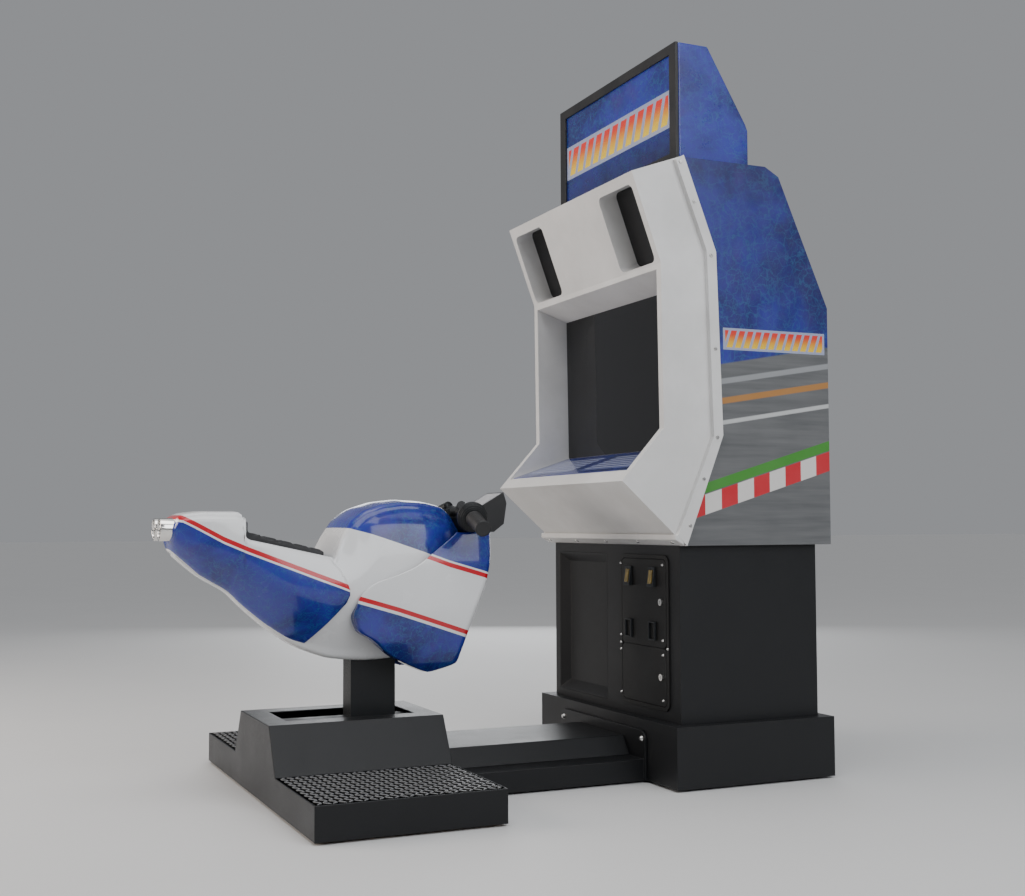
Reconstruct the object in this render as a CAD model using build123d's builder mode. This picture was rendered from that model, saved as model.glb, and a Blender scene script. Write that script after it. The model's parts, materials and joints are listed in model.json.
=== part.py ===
"""Sit-on motorbike racing cabinet: a leaning bike on a footrest platform, joined by a beam to a screen tower.

Millimetres. +X is the rider's right, +Y runs from the exhaust to the screen, +Z is up. The floor is Z = 0 and
the origin is on the floor, midway between the tip of the exhausts and the back of the tower.
"""

import os

from build123d import *

# ---------------------------------------------------------------- driving dimensions

FLOOR_GAP = 6  # the levelling feet hold every cabinet edge this far off the floor
SHEET = 4  # steel covers of the platform and beam
BOARD = 18  # wooden boards of the tower
MOULDING = 4  # wall of the plastic bezel and of the bike shells
FIT = 0.5  # gap all round a panel that drops into an opening
RUNNING = 0.05  # radial gap of a shaft in its bearing
SCREW_HEAD_RADIUS = 6
SCREW_HEAD_HEIGHT = 3

# Footrest platform and its hump
PLATFORM_WIDTH = 1228
PLATFORM_LENGTH = 497
PLATFORM_HEIGHT = 95
TREAD = 2
TREAD_MARGIN = 3
HUMP_HEIGHT = 219
HUMP_FOOT_WIDTH = 467
HUMP_TOP_WIDTH = 330
SLOT_WIDTH = 190
SLOT_LENGTH = 369
SLOT_FROM_REAR = 66
BASE_BOARD = 12

# Lean pivot and column
PIVOT_HEIGHT = 60
SHAFT_RADIUS = 15
SHAFT_LENGTH = 255
HUB_RADIUS = 28
BEARING_RADIUS = 32
BEARING_WIDTH = 30
BEARING_FOOT_WIDTH = 130
COLUMN_FROM_REAR = 332  # column centre, from the platform's rear edge
COLUMN_WIDTH = 76
COLUMN_LENGTH = 132
COLUMN_WALL = 5
COLUMN_TOP = 430
NECK_FROM_COLUMN = 222
NECK_HALF = 14
NECK_TOP = 796
SLOT_COVER_RADIUS = 150
SLOT_COVER_THICKNESS = 2
LEAN_ARM_REACH = 150
LEAN_ARM_THICKNESS = 12
LEAN_ARM_LENGTH = 64
LEAN_ARM_HEIGHT = 88
BUMP_RADIUS = 16
BUMP_REACH = 132
BUMP_TOP = 47

# Beam between platform and tower
BEAM_LENGTH = 592
BEAM_WIDTH = 538
BEAM_HEIGHT = 68
DUCT_FOOT_WIDTH = 368
DUCT_TOP_WIDTH = 295
DUCT_HEIGHT = 121
FLANGE_WIDTH = 550
FLANGE_HEIGHT = 150
FLANGE_THICKNESS = 9
FLANGE_CORNER = 28
FLANGE_BOLT_RADIUS = 9
FLANGE_BOLT_HEIGHT = 6

# Tower
PLINTH_WIDTH = 884
PLINTH_LENGTH = 539
PLINTH_HEIGHT = 180
CORNER_POST = 60
LOWER_WIDTH = 808
LOWER_LENGTH = 471
LOWER_SETBACK = 37
LOWER_TOP = 687
UPPER_WIDTH = 852
UPPER_REAR_OVERHANG = 42
UPPER_TOP = 1809
REAR_WALL_TOP = 1398
ROOF_REAR = (380, 1783)  # from the plinth's front, then height
ROOF_FRONT = 333

# Bezel: distances are from the plinth's front face, positive towards the back
PANEL_TOP = (-121, 1750)
PANEL_FOOT = (-28, 1495)
RIM_FOOT = (-23, 1022)
NOSE = (-159, 870)
CHIN = (7, 721)
FLANGE_STEP = [(15, 1794), (116, 1536), (133, 1000), (10, 718)]
BEZEL_BACK = [(39, LOWER_TOP), (164, 1004), (147, 1536), (42, UPPER_TOP)]
BEZEL_FLANGE_WIDTH = 886
RECESS_WIDTH = 803
RECESS_TOP_FRONT = (-27.5, 1479)
RECESS_TOP_REAR = (82, 1441)
SHELF_REAR = (88, 973)
SHELF_FRONT = (-133, 899)
SHELF_PANEL_THICKNESS = 2
SHELF_PANEL_MARGIN = 10
GLASS_THICKNESS = 5
POCKET_INNER = 199
POCKET_OUTER = 401
POCKET_FROM_TOP = 32
POCKET_LENGTH = 233
POCKET_DEPTH = 63
POCKET_CORNER = 20
GRILLE_THICKNESS = 3
SPEAKER_RADIUS = 62
SPEAKER_DEPTH = 45

# Monitor
TUBE_WIDTH = 620
TUBE_HEIGHT = 440
TUBE_DEPTH = 370
TUBE_BAND = 50
NECK_RADIUS = 18
MASK_THICKNESS = 6
MASK_GAP = 6

# Access panel and coin door in the front of the lower cabinet
ACCESS_LEFT = -374
ACCESS_RIGHT = -35
ACCESS_FOOT = 203
ACCESS_TOP = 659
ACCESS_BEVEL = 28
ACCESS_DEPTH = 30
ACCESS_WALL = 3
DOOR_CENTRE = 200.5
DOOR_FRAME_WIDTH = 289
DOOR_FRAME_FOOT = 208
DOOR_FRAME_TOP = 659
DOOR_FRAME_CORNER = 26
DOOR_MARGIN = 12
DOOR_CORNER = 18
DOOR_THICKNESS = 4
DOOR_SPLIT = 389
DOOR_GAP = 1.5
DOOR_SLEEVE = 28
DOOR_SLEEVE_WALL = 2
SLEEVE_LAP = 1
ENTRY_CENTRE = 186
ENTRY_OFFSET = 70.5
ENTRY_HEIGHT_Z = 594
ENTRY_WIDTH = 38
ENTRY_TALL = 58
ENTRY_FOOT_DEPTH = 12
ENTRY_TOP_DEPTH = 5
INSERT_WIDTH = 20
INSERT_TALL = 40
INSERT_TRAVEL = 4
RETURN_HEIGHT_Z = 436
RETURN_WIDTH = 38
RETURN_TALL = 55
RETURN_RAISE = 7
RETURN_WALL = 4
FLAP_THICKNESS = 2
FLAP_SETBACK = 6
LOCK_OFFSET = 104
UPPER_LOCK_HEIGHT = 522
CASH_LOCK_HEIGHT = 305
LOCK_RADIUS = 10
LOCK_HEAD = 5
CAM_REACH = 40
CAM_WIDTH = 12
CAM_THICKNESS = 2.5

# Service door in the back of the lower cabinet
SERVICE_WIDTH = 460
SERVICE_FOOT = 240
SERVICE_TOP = 620
SERVICE_LAP = 15
SERVICE_THICKNESS = 4
SERVICE_LOCK_X = 200

# Marquee
MARQUEE_WIDTH = 764
MARQUEE_FRONT = 53.5
MARQUEE_BACK = 304
MARQUEE_TOP = 2164
MARQUEE_ROOF_REAR = 165
MARQUEE_SLOPE_FOOT = (296, 1945)
MARQUEE_WALL = 12
MARQUEE_FRAME_SIDE = 37.5
MARQUEE_FRAME_TOP = 29
MARQUEE_FRAME_DEPTH = 10
LAMP_RADIUS = 13
LAMP_LENGTH = 600

# Bike: distances are from the column's centre, positive towards the screen
EXHAUST_TIP = 603
EXHAUST_LENGTH = 90
EXHAUST_RADIUS = 31
EXHAUST_BORE = 26
EXHAUST_SPREAD = 44
EXHAUST_HEIGHT = 740
PAD_WIDTH = 184
PAD_TRAY = 4
PANEL_THICKNESS = 11
FAIRING_WALL = 6
FAIRING_TOP = 728
FAIRING_HOLLOW_FROM = 112
DASH_WIDTH = 122
DASH_PANEL_THICKNESS = 3
BUTTON_RADIUS = 11
BUTTON_TRAVEL = 3
BUTTON_PROUD = 6
BAR_RADIUS = 16
GRIP_ROOT = (196, 244, 768)  # handlebar flange: X, distance from the column, height
GRIP_DIRECTION = (110, -17, -28)
GRIP_LENGTH = 108
GRIP_RADIUS = 22
GRIP_CORE_RADIUS = 11
GRIP_CAP = 4
FLANGE_DISCS = [(44, -22, -8), (40, -8, 2), (31, 2, 10)]  # radius, start and end along the grip

# ---------------------------------------------------------------- stations along Y

tower_reach = PLATFORM_LENGTH + BEAM_LENGTH + LOWER_SETBACK + LOWER_LENGTH + UPPER_REAR_OVERHANG
exhaust_overhang = EXHAUST_TIP - COLUMN_FROM_REAR
platform_rear = (exhaust_overhang - tower_reach) / 2
platform_front = platform_rear + PLATFORM_LENGTH
column_y = platform_rear + COLUMN_FROM_REAR
plinth_front = platform_front + BEAM_LENGTH
plinth_rear = plinth_front + PLINTH_LENGTH
lower_front = plinth_front + LOWER_SETBACK
lower_rear = lower_front + LOWER_LENGTH
upper_rear = lower_rear + UPPER_REAR_OVERHANG


# ---------------------------------------------------------------- helpers


def across(x):
    """Plane at X = x whose own axes are Y and Z. It extrudes towards +X."""
    return Plane.YZ.offset(x)


def facing(y):
    """Plane at Y = y whose own axes are X and Z. It extrudes towards the rider, -Y."""
    return Plane.XZ.offset(-y)


def tower(points):
    """Corners measured from the plinth's front face, moved into the machine's frame."""
    return [(plinth_front + along, height) for along, height in points]


def bike(points):
    """Corners measured from the column's centre, moved into the machine's frame."""
    return [(column_y + along, height) for along, height in points]


def block(x0, x1, y0, y1, z0, z1, mode=Mode.ADD):
    """A box between two opposite corners."""
    with Locations(((x0 + x1) / 2, (y0 + y1) / 2, (z0 + z1) / 2)):
        Box(x1 - x0, y1 - y0, z1 - z0, mode=mode)


def slab(plane, points, amount, mode=Mode.ADD):
    """A closed outline drawn on a plane and extruded from it."""
    with BuildSketch(plane) as outline:
        with BuildLine():
            Polyline(*points, close=True)
        make_face()
    extrude(outline.sketch, amount=amount, mode=mode)


def side_slab(points, x0, x1, mode=Mode.ADD):
    """A side outline of (Y, Z) corners, extruded from X = x0 to X = x1."""
    slab(across(x0), points, x1 - x0, mode)


def rod(plane, radius, start, end, mode=Mode.ADD):
    """A cylinder along a plane's normal, between two distances from the plane."""
    with BuildSketch(plane.offset(start)) as disc:
        Circle(radius)
    extrude(disc.sketch, amount=end - start, mode=mode)


def rounded_plate(x, z, width, height, corner, y0, y1, mode=Mode.ADD):
    """An upright plate with round corners between Y = y0 and Y = y1."""
    with BuildSketch(facing(y1)) as outline:
        with Locations((x, z)):
            RectangleRounded(width, height, corner)
    extrude(outline.sketch, amount=y1 - y0, mode=mode)


def domed_screws(plane, places, radius=SCREW_HEAD_RADIUS, height=SCREW_HEAD_HEIGHT):
    """Low domed screw heads standing on a plane."""
    with BuildSketch(plane) as heads:
        with Locations(*places):
            Circle(radius)
    extrude(heads.sketch, amount=height, taper=30)


def keep(part, name):
    """Label a finished piece and write it as its own STEP file."""
    part.label = name
    export_step(part, f"parts/{name}.step")


def mirrored(part):
    """The same piece on the rider's left."""
    return part.mirror(Plane.YZ)


os.makedirs("parts", exist_ok=True)

# ---------------------------------------------------------------- footrest platform

deck_z = PLATFORM_HEIGHT - TREAD
half_platform = PLATFORM_WIDTH / 2
half_hump_foot = HUMP_FOOT_WIDTH / 2
half_hump_top = HUMP_TOP_WIDTH / 2
hump_lean = (half_hump_foot - half_hump_top) / (HUMP_HEIGHT - PLATFORM_HEIGHT)
slot_rear = platform_rear + SLOT_FROM_REAR
slot_front = slot_rear + SLOT_LENGTH
half_deck_foot = half_hump_foot + hump_lean * TREAD
platform_outline = [
    (-half_platform, FLOOR_GAP),
    (-half_platform, deck_z),
    (-half_deck_foot, deck_z),
    (-half_hump_top, HUMP_HEIGHT),
    (half_hump_top, HUMP_HEIGHT),
    (half_deck_foot, deck_z),
    (half_platform, deck_z),
    (half_platform, FLOOR_GAP),
]
platform_hollow = [
    (-half_platform + SHEET, FLOOR_GAP),
    (-half_platform + SHEET, deck_z - SHEET),
    (-half_deck_foot + SHEET, deck_z - SHEET),
    (-half_hump_top + SHEET / 2, HUMP_HEIGHT - SHEET),
    (half_hump_top - SHEET / 2, HUMP_HEIGHT - SHEET),
    (half_deck_foot - SHEET, deck_z - SHEET),
    (half_platform - SHEET, deck_z - SHEET),
    (half_platform - SHEET, FLOOR_GAP),
]

with BuildPart() as platform_shell:
    slab(facing(platform_front), platform_outline, PLATFORM_LENGTH)
    slab(facing(platform_front - SHEET), platform_hollow, PLATFORM_LENGTH - 2 * SHEET, Mode.SUBTRACT)
    half_slot = SLOT_WIDTH / 2
    block(-half_slot, half_slot, slot_rear, slot_front, HUMP_HEIGHT - 2 * SHEET, HUMP_HEIGHT + 1, Mode.SUBTRACT)
keep(platform_shell.part, "platform_shell")

with BuildPart() as tread_plates:
    for side in (-1, 1):
        inner = half_deck_foot + TREAD_MARGIN
        outer = half_platform - TREAD_MARGIN
        block(
            min(side * inner, side * outer),
            max(side * inner, side * outer),
            platform_rear + TREAD_MARGIN,
            platform_front - TREAD_MARGIN,
            deck_z,
            PLATFORM_HEIGHT,
        )
keep(tread_plates.part, "tread_plates")

base_top = FLOOR_GAP + BASE_BOARD
foot_inset = 70
foot_radius = 22
stud_radius = 5
stud_height = 24
stud_gap = 0.3
platform_feet = [
    (side * (half_platform - foot_inset), y)
    for side in (-1, 1)
    for y in (platform_rear + foot_inset, platform_front - foot_inset)
]
plinth_post_centre = CORNER_POST / 2 + BOARD
plinth_feet = [
    (side * (PLINTH_WIDTH / 2 - plinth_post_centre), y)
    for side in (-1, 1)
    for y in (plinth_front + plinth_post_centre, plinth_rear - plinth_post_centre)
]
all_feet = platform_feet + plinth_feet

with BuildPart() as platform_base:
    block(
        -half_platform + SHEET,
        half_platform - SHEET,
        platform_rear + SHEET,
        platform_front - SHEET,
        FLOOR_GAP,
        base_top,
    )
    with BuildSketch(Plane.XY) as stud_holes:
        with Locations(*platform_feet):
            Circle(stud_radius + stud_gap)
    extrude(amount=base_top + 1, mode=Mode.SUBTRACT)
keep(platform_base.part, "platform_base")

with BuildPart() as levelling_feet:
    with BuildSketch(Plane.XY) as foot_pads:
        with Locations(*all_feet):
            Circle(foot_radius)
    extrude(amount=FLOOR_GAP)
    with BuildSketch(Plane.XY.offset(FLOOR_GAP)) as foot_studs:
        with Locations(*all_feet):
            Circle(stud_radius)
    extrude(amount=stud_height)
keep(levelling_feet.part, "levelling_feet")

shaft_rear = column_y - SHAFT_LENGTH / 2
shaft_front = column_y + SHAFT_LENGTH / 2
shaft_plane = Plane(origin=(0, 0, PIVOT_HEIGHT), x_dir=(1, 0, 0), z_dir=(0, 1, 0))

with BuildPart() as pivot_bearings:
    for start in (shaft_rear, shaft_front - BEARING_WIDTH):
        block(
            -BEARING_FOOT_WIDTH / 2,
            BEARING_FOOT_WIDTH / 2,
            start,
            start + BEARING_WIDTH,
            base_top,
            PIVOT_HEIGHT - BEARING_RADIUS + SHEET,
        )
        rod(shaft_plane, BEARING_RADIUS, start, start + BEARING_WIDTH)
    rod(shaft_plane, SHAFT_RADIUS + RUNNING, shaft_rear - 1, shaft_front + 1, Mode.SUBTRACT)
keep(pivot_bearings.part, "pivot_bearings")

with BuildPart() as bump_stops:
    with BuildSketch(Plane.XY.offset(base_top)) as buffers:
        with Locations((0, column_y)):
            with GridLocations(2 * BUMP_REACH, LEAN_ARM_LENGTH / 2, 2, 2):
                Circle(BUMP_RADIUS)
    extrude(amount=BUMP_TOP - base_top)
keep(bump_stops.part, "bump_stops")

# ---------------------------------------------------------------- beam

half_beam = BEAM_WIDTH / 2
half_duct_foot = DUCT_FOOT_WIDTH / 2
half_duct_top = DUCT_TOP_WIDTH / 2
flange_rear = plinth_front - FLANGE_THICKNESS
beam_end = flange_rear
flange_bolt_inset = 20
flange_bolt_height = 125
inner_bolt_x = 120
inner_bolt_height = 42
flange_bolts_at = [
    (side * (FLANGE_WIDTH / 2 - flange_bolt_inset), flange_bolt_height) for side in (-1, 1)
] + [(side * inner_bolt_x, inner_bolt_height) for side in (-1, 1)]

with BuildPart() as beam_channel:
    block(-half_beam, half_beam, platform_front, beam_end, FLOOR_GAP, BEAM_HEIGHT)
    half_channel = half_beam - SHEET
    block(-half_channel, half_channel, platform_front, beam_end, FLOOR_GAP, BEAM_HEIGHT - SHEET, Mode.SUBTRACT)
    block(-FLANGE_WIDTH / 2, FLANGE_WIDTH / 2, flange_rear, plinth_front, FLOOR_GAP, FLANGE_HEIGHT)
    top_corners = beam_channel.edges().filter_by(Axis.Y).group_by(Axis.Z)[-1]
    fillet(top_corners, radius=FLANGE_CORNER)
keep(beam_channel.part, "beam_channel")

with BuildPart() as beam_cover:
    duct = [
        (-half_duct_foot, BEAM_HEIGHT),
        (-half_duct_top, DUCT_HEIGHT),
        (half_duct_top, DUCT_HEIGHT),
        (half_duct_foot, BEAM_HEIGHT),
    ]
    duct_hollow = [
        (-half_duct_foot + 1.5 * SHEET, BEAM_HEIGHT),
        (-half_duct_top + SHEET, DUCT_HEIGHT - SHEET),
        (half_duct_top - SHEET, DUCT_HEIGHT - SHEET),
        (half_duct_foot - 1.5 * SHEET, BEAM_HEIGHT),
    ]
    slab(facing(beam_end), duct, beam_end - platform_front)
    slab(facing(beam_end), duct_hollow, beam_end - platform_front, Mode.SUBTRACT)
keep(beam_cover.part, "beam_cover")

# ---------------------------------------------------------------- tower plinth and lower cabinet

half_plinth = PLINTH_WIDTH / 2
half_lower = LOWER_WIDTH / 2

with BuildPart() as tower_plinth:
    block(-half_plinth, half_plinth, plinth_front, plinth_rear, FLOOR_GAP, PLINTH_HEIGHT)
    block(
        -half_plinth + BOARD,
        half_plinth - BOARD,
        plinth_front + BOARD,
        plinth_rear - BOARD,
        FLOOR_GAP,
        PLINTH_HEIGHT - BOARD,
        Mode.SUBTRACT,
    )
    for x, y in plinth_feet:
        half_post = CORNER_POST / 2
        block(x - half_post, x + half_post, y - half_post, y + half_post, FLOOR_GAP, PLINTH_HEIGHT - BOARD)
    with BuildSketch(Plane.XY.offset(FLOOR_GAP)) as post_holes:
        with Locations(*plinth_feet):
            Circle(stud_radius + stud_gap)
    extrude(amount=stud_height + 5, mode=Mode.SUBTRACT)
keep(tower_plinth.part, "tower_plinth")

door_half_width = DOOR_FRAME_WIDTH / 2 - DOOR_MARGIN
door_left = DOOR_CENTRE - door_half_width
door_right = DOOR_CENTRE + door_half_width
door_foot = DOOR_FRAME_FOOT + DOOR_MARGIN
door_top = DOOR_FRAME_TOP - DOOR_MARGIN
door_opening_z = (door_foot + door_top) / 2
sleeve_width = 2 * door_half_width
sleeve_height = door_top - door_foot
door_face = lower_front  # back of the doors
door_front = door_face - DOOR_THICKNESS  # front of the doors, flush with their frame
service_half = SERVICE_WIDTH / 2
inlet_left = 300
inlet_width = 48
inlet_foot = 205
inlet_height = 30


def sleeve_form(grow, y0, y1, mode=Mode.ADD):
    """The round-cornered opening of the coin doors, grown outwards or (negative) inwards."""
    width = sleeve_width + 2 * grow
    height = sleeve_height + 2 * grow
    rounded_plate(DOOR_CENTRE, door_opening_z, width, height, DOOR_CORNER + grow, y0, y1, mode)


with BuildPart() as lower_cabinet:
    block(-half_lower, half_lower, lower_front, lower_rear, PLINTH_HEIGHT, LOWER_TOP)
    block(
        -half_lower + BOARD,
        half_lower - BOARD,
        lower_front + BOARD,
        lower_rear - BOARD,
        PLINTH_HEIGHT,
        LOWER_TOP,
        Mode.SUBTRACT,
    )
    block(ACCESS_LEFT, ACCESS_RIGHT, lower_front, lower_front + BOARD, ACCESS_FOOT, ACCESS_TOP, Mode.SUBTRACT)
    sleeve_form(SLEEVE_LAP, lower_front, lower_front + BOARD, Mode.SUBTRACT)
    block(
        -service_half + SERVICE_LAP,
        service_half - SERVICE_LAP,
        lower_rear - BOARD,
        lower_rear,
        SERVICE_FOOT + SERVICE_LAP,
        SERVICE_TOP - SERVICE_LAP,
        Mode.SUBTRACT,
    )
    block(
        inlet_left,
        inlet_left + inlet_width,
        lower_rear - BOARD,
        lower_rear,
        inlet_foot,
        inlet_foot + inlet_height,
        Mode.SUBTRACT,
    )
keep(lower_cabinet.part, "lower_cabinet")

access_x = (ACCESS_LEFT + ACCESS_RIGHT) / 2
access_z = (ACCESS_FOOT + ACCESS_TOP) / 2
access_width = ACCESS_RIGHT - ACCESS_LEFT
access_height = ACCESS_TOP - ACCESS_FOOT


def access_form(inset, depth):
    """The tapered pan of the access panel, or the hollow inside it."""
    with BuildSketch(facing(lower_front)) as mouth:
        with Locations((access_x, access_z)):
            Rectangle(access_width - 2 * inset, access_height - 2 * inset)
    with BuildSketch(facing(lower_front + depth)) as floor_of_pan:
        with Locations((access_x, access_z)):
            Rectangle(access_width - 2 * (inset + ACCESS_BEVEL), access_height - 2 * (inset + ACCESS_BEVEL))
    return loft([mouth.sketch.face(), floor_of_pan.sketch.face()], ruled=True, mode=Mode.PRIVATE)


with BuildPart() as access_panel:
    add(access_form(0, ACCESS_DEPTH))
    add(access_form(ACCESS_WALL, ACCESS_DEPTH - ACCESS_WALL), mode=Mode.SUBTRACT)
keep(access_panel.part, "access_panel")

# ---------------------------------------------------------------- coin door

with BuildPart() as coin_door_frame:
    frame_height = DOOR_FRAME_TOP - DOOR_FRAME_FOOT
    rounded_plate(
        DOOR_CENTRE, door_opening_z, DOOR_FRAME_WIDTH, frame_height, DOOR_FRAME_CORNER, door_front, lower_front
    )
    sleeve_form(0, door_front, lower_front, Mode.SUBTRACT)
    sleeve_form(SLEEVE_LAP, lower_front, lower_front + DOOR_SLEEVE)
    sleeve_form(-DOOR_SLEEVE_WALL, lower_front, lower_front + DOOR_SLEEVE, Mode.SUBTRACT)
    sill_half = 6
    block(
        door_left + DOOR_SLEEVE_WALL,
        door_right - DOOR_SLEEVE_WALL,
        lower_front,
        lower_front + sill_half,
        DOOR_SPLIT - sill_half,
        DOOR_SPLIT + sill_half,
    )
keep(coin_door_frame.part, "coin_door_frame")

half_travel_gap = 0.3
insert_depth = 20
entry_x = [ENTRY_CENTRE + side * ENTRY_OFFSET for side in (-1, 1)]
return_opening_width = RETURN_WIDTH - 2 * RETURN_WALL
return_opening_tall = RETURN_TALL - 2 * RETURN_WALL


def door_plate(foot, top):
    """A coin door leaf set flush in the frame, with round corners and a gap all round."""
    leaf_width = sleeve_width - 2 * DOOR_GAP
    leaf_corner = DOOR_CORNER - DOOR_GAP
    rounded_plate(DOOR_CENTRE, (foot + top) / 2, leaf_width, top - foot, leaf_corner, door_front, door_face)


with BuildPart() as upper_coin_door:
    door_plate(DOOR_SPLIT + DOOR_GAP / 2, door_top - DOOR_GAP)
    for x in entry_x:
        block(
            x - INSERT_WIDTH / 2 - half_travel_gap,
            x + INSERT_WIDTH / 2 + half_travel_gap,
            door_front,
            door_face,
            ENTRY_HEIGHT_Z - INSERT_TALL / 2 - half_travel_gap,
            ENTRY_HEIGHT_Z + INSERT_TALL / 2 + half_travel_gap,
            Mode.SUBTRACT,
        )
        block(
            x - return_opening_width / 2,
            x + return_opening_width / 2,
            door_front,
            door_face,
            RETURN_HEIGHT_Z - return_opening_tall / 2,
            RETURN_HEIGHT_Z + return_opening_tall / 2,
            Mode.SUBTRACT,
        )
    with BuildSketch(facing(door_face)) as upper_lock_hole:
        with Locations((DOOR_CENTRE + LOCK_OFFSET, UPPER_LOCK_HEIGHT)):
            Circle(LOCK_RADIUS + RUNNING)
    extrude(amount=DOOR_THICKNESS, mode=Mode.SUBTRACT)
keep(upper_coin_door.part, "upper_coin_door")

with BuildPart() as cash_door:
    door_plate(door_foot + DOOR_GAP, DOOR_SPLIT - DOOR_GAP / 2)
    with BuildSketch(facing(door_face)) as cash_lock_hole:
        with Locations((DOOR_CENTRE + LOCK_OFFSET, CASH_LOCK_HEIGHT)):
            Circle(LOCK_RADIUS + RUNNING)
    extrude(amount=DOOR_THICKNESS, mode=Mode.SUBTRACT)
keep(cash_door.part, "cash_door")

entry_foot = ENTRY_HEIGHT_Z - ENTRY_TALL / 2
entry_top = ENTRY_HEIGHT_Z + ENTRY_TALL / 2

with BuildPart() as coin_entry_trim:
    for x in entry_x:
        wedge = [
            (door_front, entry_foot),
            (door_front - ENTRY_FOOT_DEPTH, entry_foot),
            (door_front - ENTRY_TOP_DEPTH, entry_top),
            (door_front, entry_top),
        ]
        side_slab(wedge, x - ENTRY_WIDTH / 2, x + ENTRY_WIDTH / 2)
        block(
            x - INSERT_WIDTH / 2 - half_travel_gap,
            x + INSERT_WIDTH / 2 + half_travel_gap,
            door_front - ENTRY_FOOT_DEPTH,
            door_front,
            ENTRY_HEIGHT_Z - INSERT_TALL / 2 - half_travel_gap,
            ENTRY_HEIGHT_Z + INSERT_TALL / 2 + half_travel_gap,
            Mode.SUBTRACT,
        )
        block(
            x - RETURN_WIDTH / 2,
            x + RETURN_WIDTH / 2,
            door_front - RETURN_RAISE,
            door_front,
            RETURN_HEIGHT_Z - RETURN_TALL / 2,
            RETURN_HEIGHT_Z + RETURN_TALL / 2,
        )
        block(
            x - return_opening_width / 2,
            x + return_opening_width / 2,
            door_front - RETURN_RAISE,
            door_front,
            RETURN_HEIGHT_Z - return_opening_tall / 2,
            RETURN_HEIGHT_Z + return_opening_tall / 2,
            Mode.SUBTRACT,
        )
keep(coin_entry_trim.part, "coin_entry_trim")

for name, x in zip(("left_reject_button", "right_reject_button"), entry_x):
    with BuildPart() as reject_button:
        insert_foot = ENTRY_HEIGHT_Z - INSERT_TALL / 2
        insert_top = ENTRY_HEIGHT_Z + INSERT_TALL / 2
        insert_outline = [
            (door_face + insert_depth, insert_foot),
            (door_front - ENTRY_FOOT_DEPTH - 1, insert_foot),
            (door_front - ENTRY_TOP_DEPTH - 3, insert_top),
            (door_face + insert_depth, insert_top),
        ]
        side_slab(insert_outline, x - INSERT_WIDTH / 2, x + INSERT_WIDTH / 2)
    keep(reject_button.part, name)

flap_hinge_z = RETURN_HEIGHT_Z + return_opening_tall / 2 - 2
flap_gap = 0.6
for name, x in zip(("left_return_flap", "right_return_flap"), entry_x):
    with BuildPart() as return_flap:
        flap_y = door_front - RETURN_RAISE + FLAP_SETBACK
        block(
            x - return_opening_width / 2 + flap_gap,
            x + return_opening_width / 2 - flap_gap,
            flap_y,
            flap_y + FLAP_THICKNESS,
            RETURN_HEIGHT_Z - return_opening_tall / 2 + flap_gap,
            flap_hinge_z,
        )
    keep(return_flap.part, name)


def cam_lock(x, z, panel_face, reach_in, sign):
    """A lock barrel through a panel, with a cam at its inner end pointing up. sign is -1 on a front panel."""
    inner_end = panel_face - sign * reach_in
    outer_end = panel_face + sign * LOCK_HEAD
    with BuildPart() as lock:
        with BuildSketch(facing(max(inner_end, outer_end))) as barrel:
            with Locations((x, z)):
                Circle(LOCK_RADIUS)
        extrude(amount=abs(outer_end - inner_end))
        cam_start = inner_end if sign > 0 else inner_end - CAM_THICKNESS
        cam_end = cam_start + CAM_THICKNESS
        block(x - CAM_WIDTH / 2, x + CAM_WIDTH / 2, cam_start, cam_end, z - CAM_WIDTH / 2, z + CAM_REACH)
        key_depth = 3
        key_start = outer_end - key_depth if sign > 0 else outer_end
        block(x - 1, x + 1, key_start, key_start + key_depth, z - 4, z + 4, Mode.SUBTRACT)
    return lock.part


cam_clearance = 2
front_lock_depth = DOOR_SLEEVE + DOOR_THICKNESS + cam_clearance + CAM_THICKNESS
lock_x = DOOR_CENTRE + LOCK_OFFSET
keep(cam_lock(lock_x, UPPER_LOCK_HEIGHT, door_front, front_lock_depth, -1), "upper_door_lock")
keep(cam_lock(lock_x, CASH_LOCK_HEIGHT, door_front, front_lock_depth, -1), "cash_door_lock")

mech_half_width = 28
mech_foot = 470
mech_top = 556
mech_depth = 60
with BuildPart() as coin_mechanisms:
    for x in entry_x:
        block(x - mech_half_width, x + mech_half_width, door_face, door_face + mech_depth, mech_foot, mech_top)
        chute_half = 10
        chute_depth = 14
        block(
            x - chute_half,
            x + chute_half,
            door_face + insert_depth + INSERT_TRAVEL + 2,
            door_face + insert_depth + INSERT_TRAVEL + 2 + chute_depth,
            mech_top,
            ENTRY_HEIGHT_Z,
        )
keep(coin_mechanisms.part, "coin_mechanisms")

cash_box_gap = 12
cash_box_wall = 2
cash_box_top = 330
cash_box_front = lower_front + DOOR_SLEEVE + 25
cash_box_rear = cash_box_front + 170
with BuildPart() as cash_box:
    cash_left = door_left + cash_box_gap
    cash_right = door_right - cash_box_gap
    block(cash_left, cash_right, cash_box_front, cash_box_rear, PLINTH_HEIGHT, cash_box_top)
    block(
        cash_left + cash_box_wall,
        cash_right - cash_box_wall,
        cash_box_front + cash_box_wall,
        cash_box_rear - cash_box_wall,
        PLINTH_HEIGHT + cash_box_wall,
        cash_box_top,
        Mode.SUBTRACT,
    )
keep(cash_box.part, "cash_box")

# ---------------------------------------------------------------- service door, inlet, electronics

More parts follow.
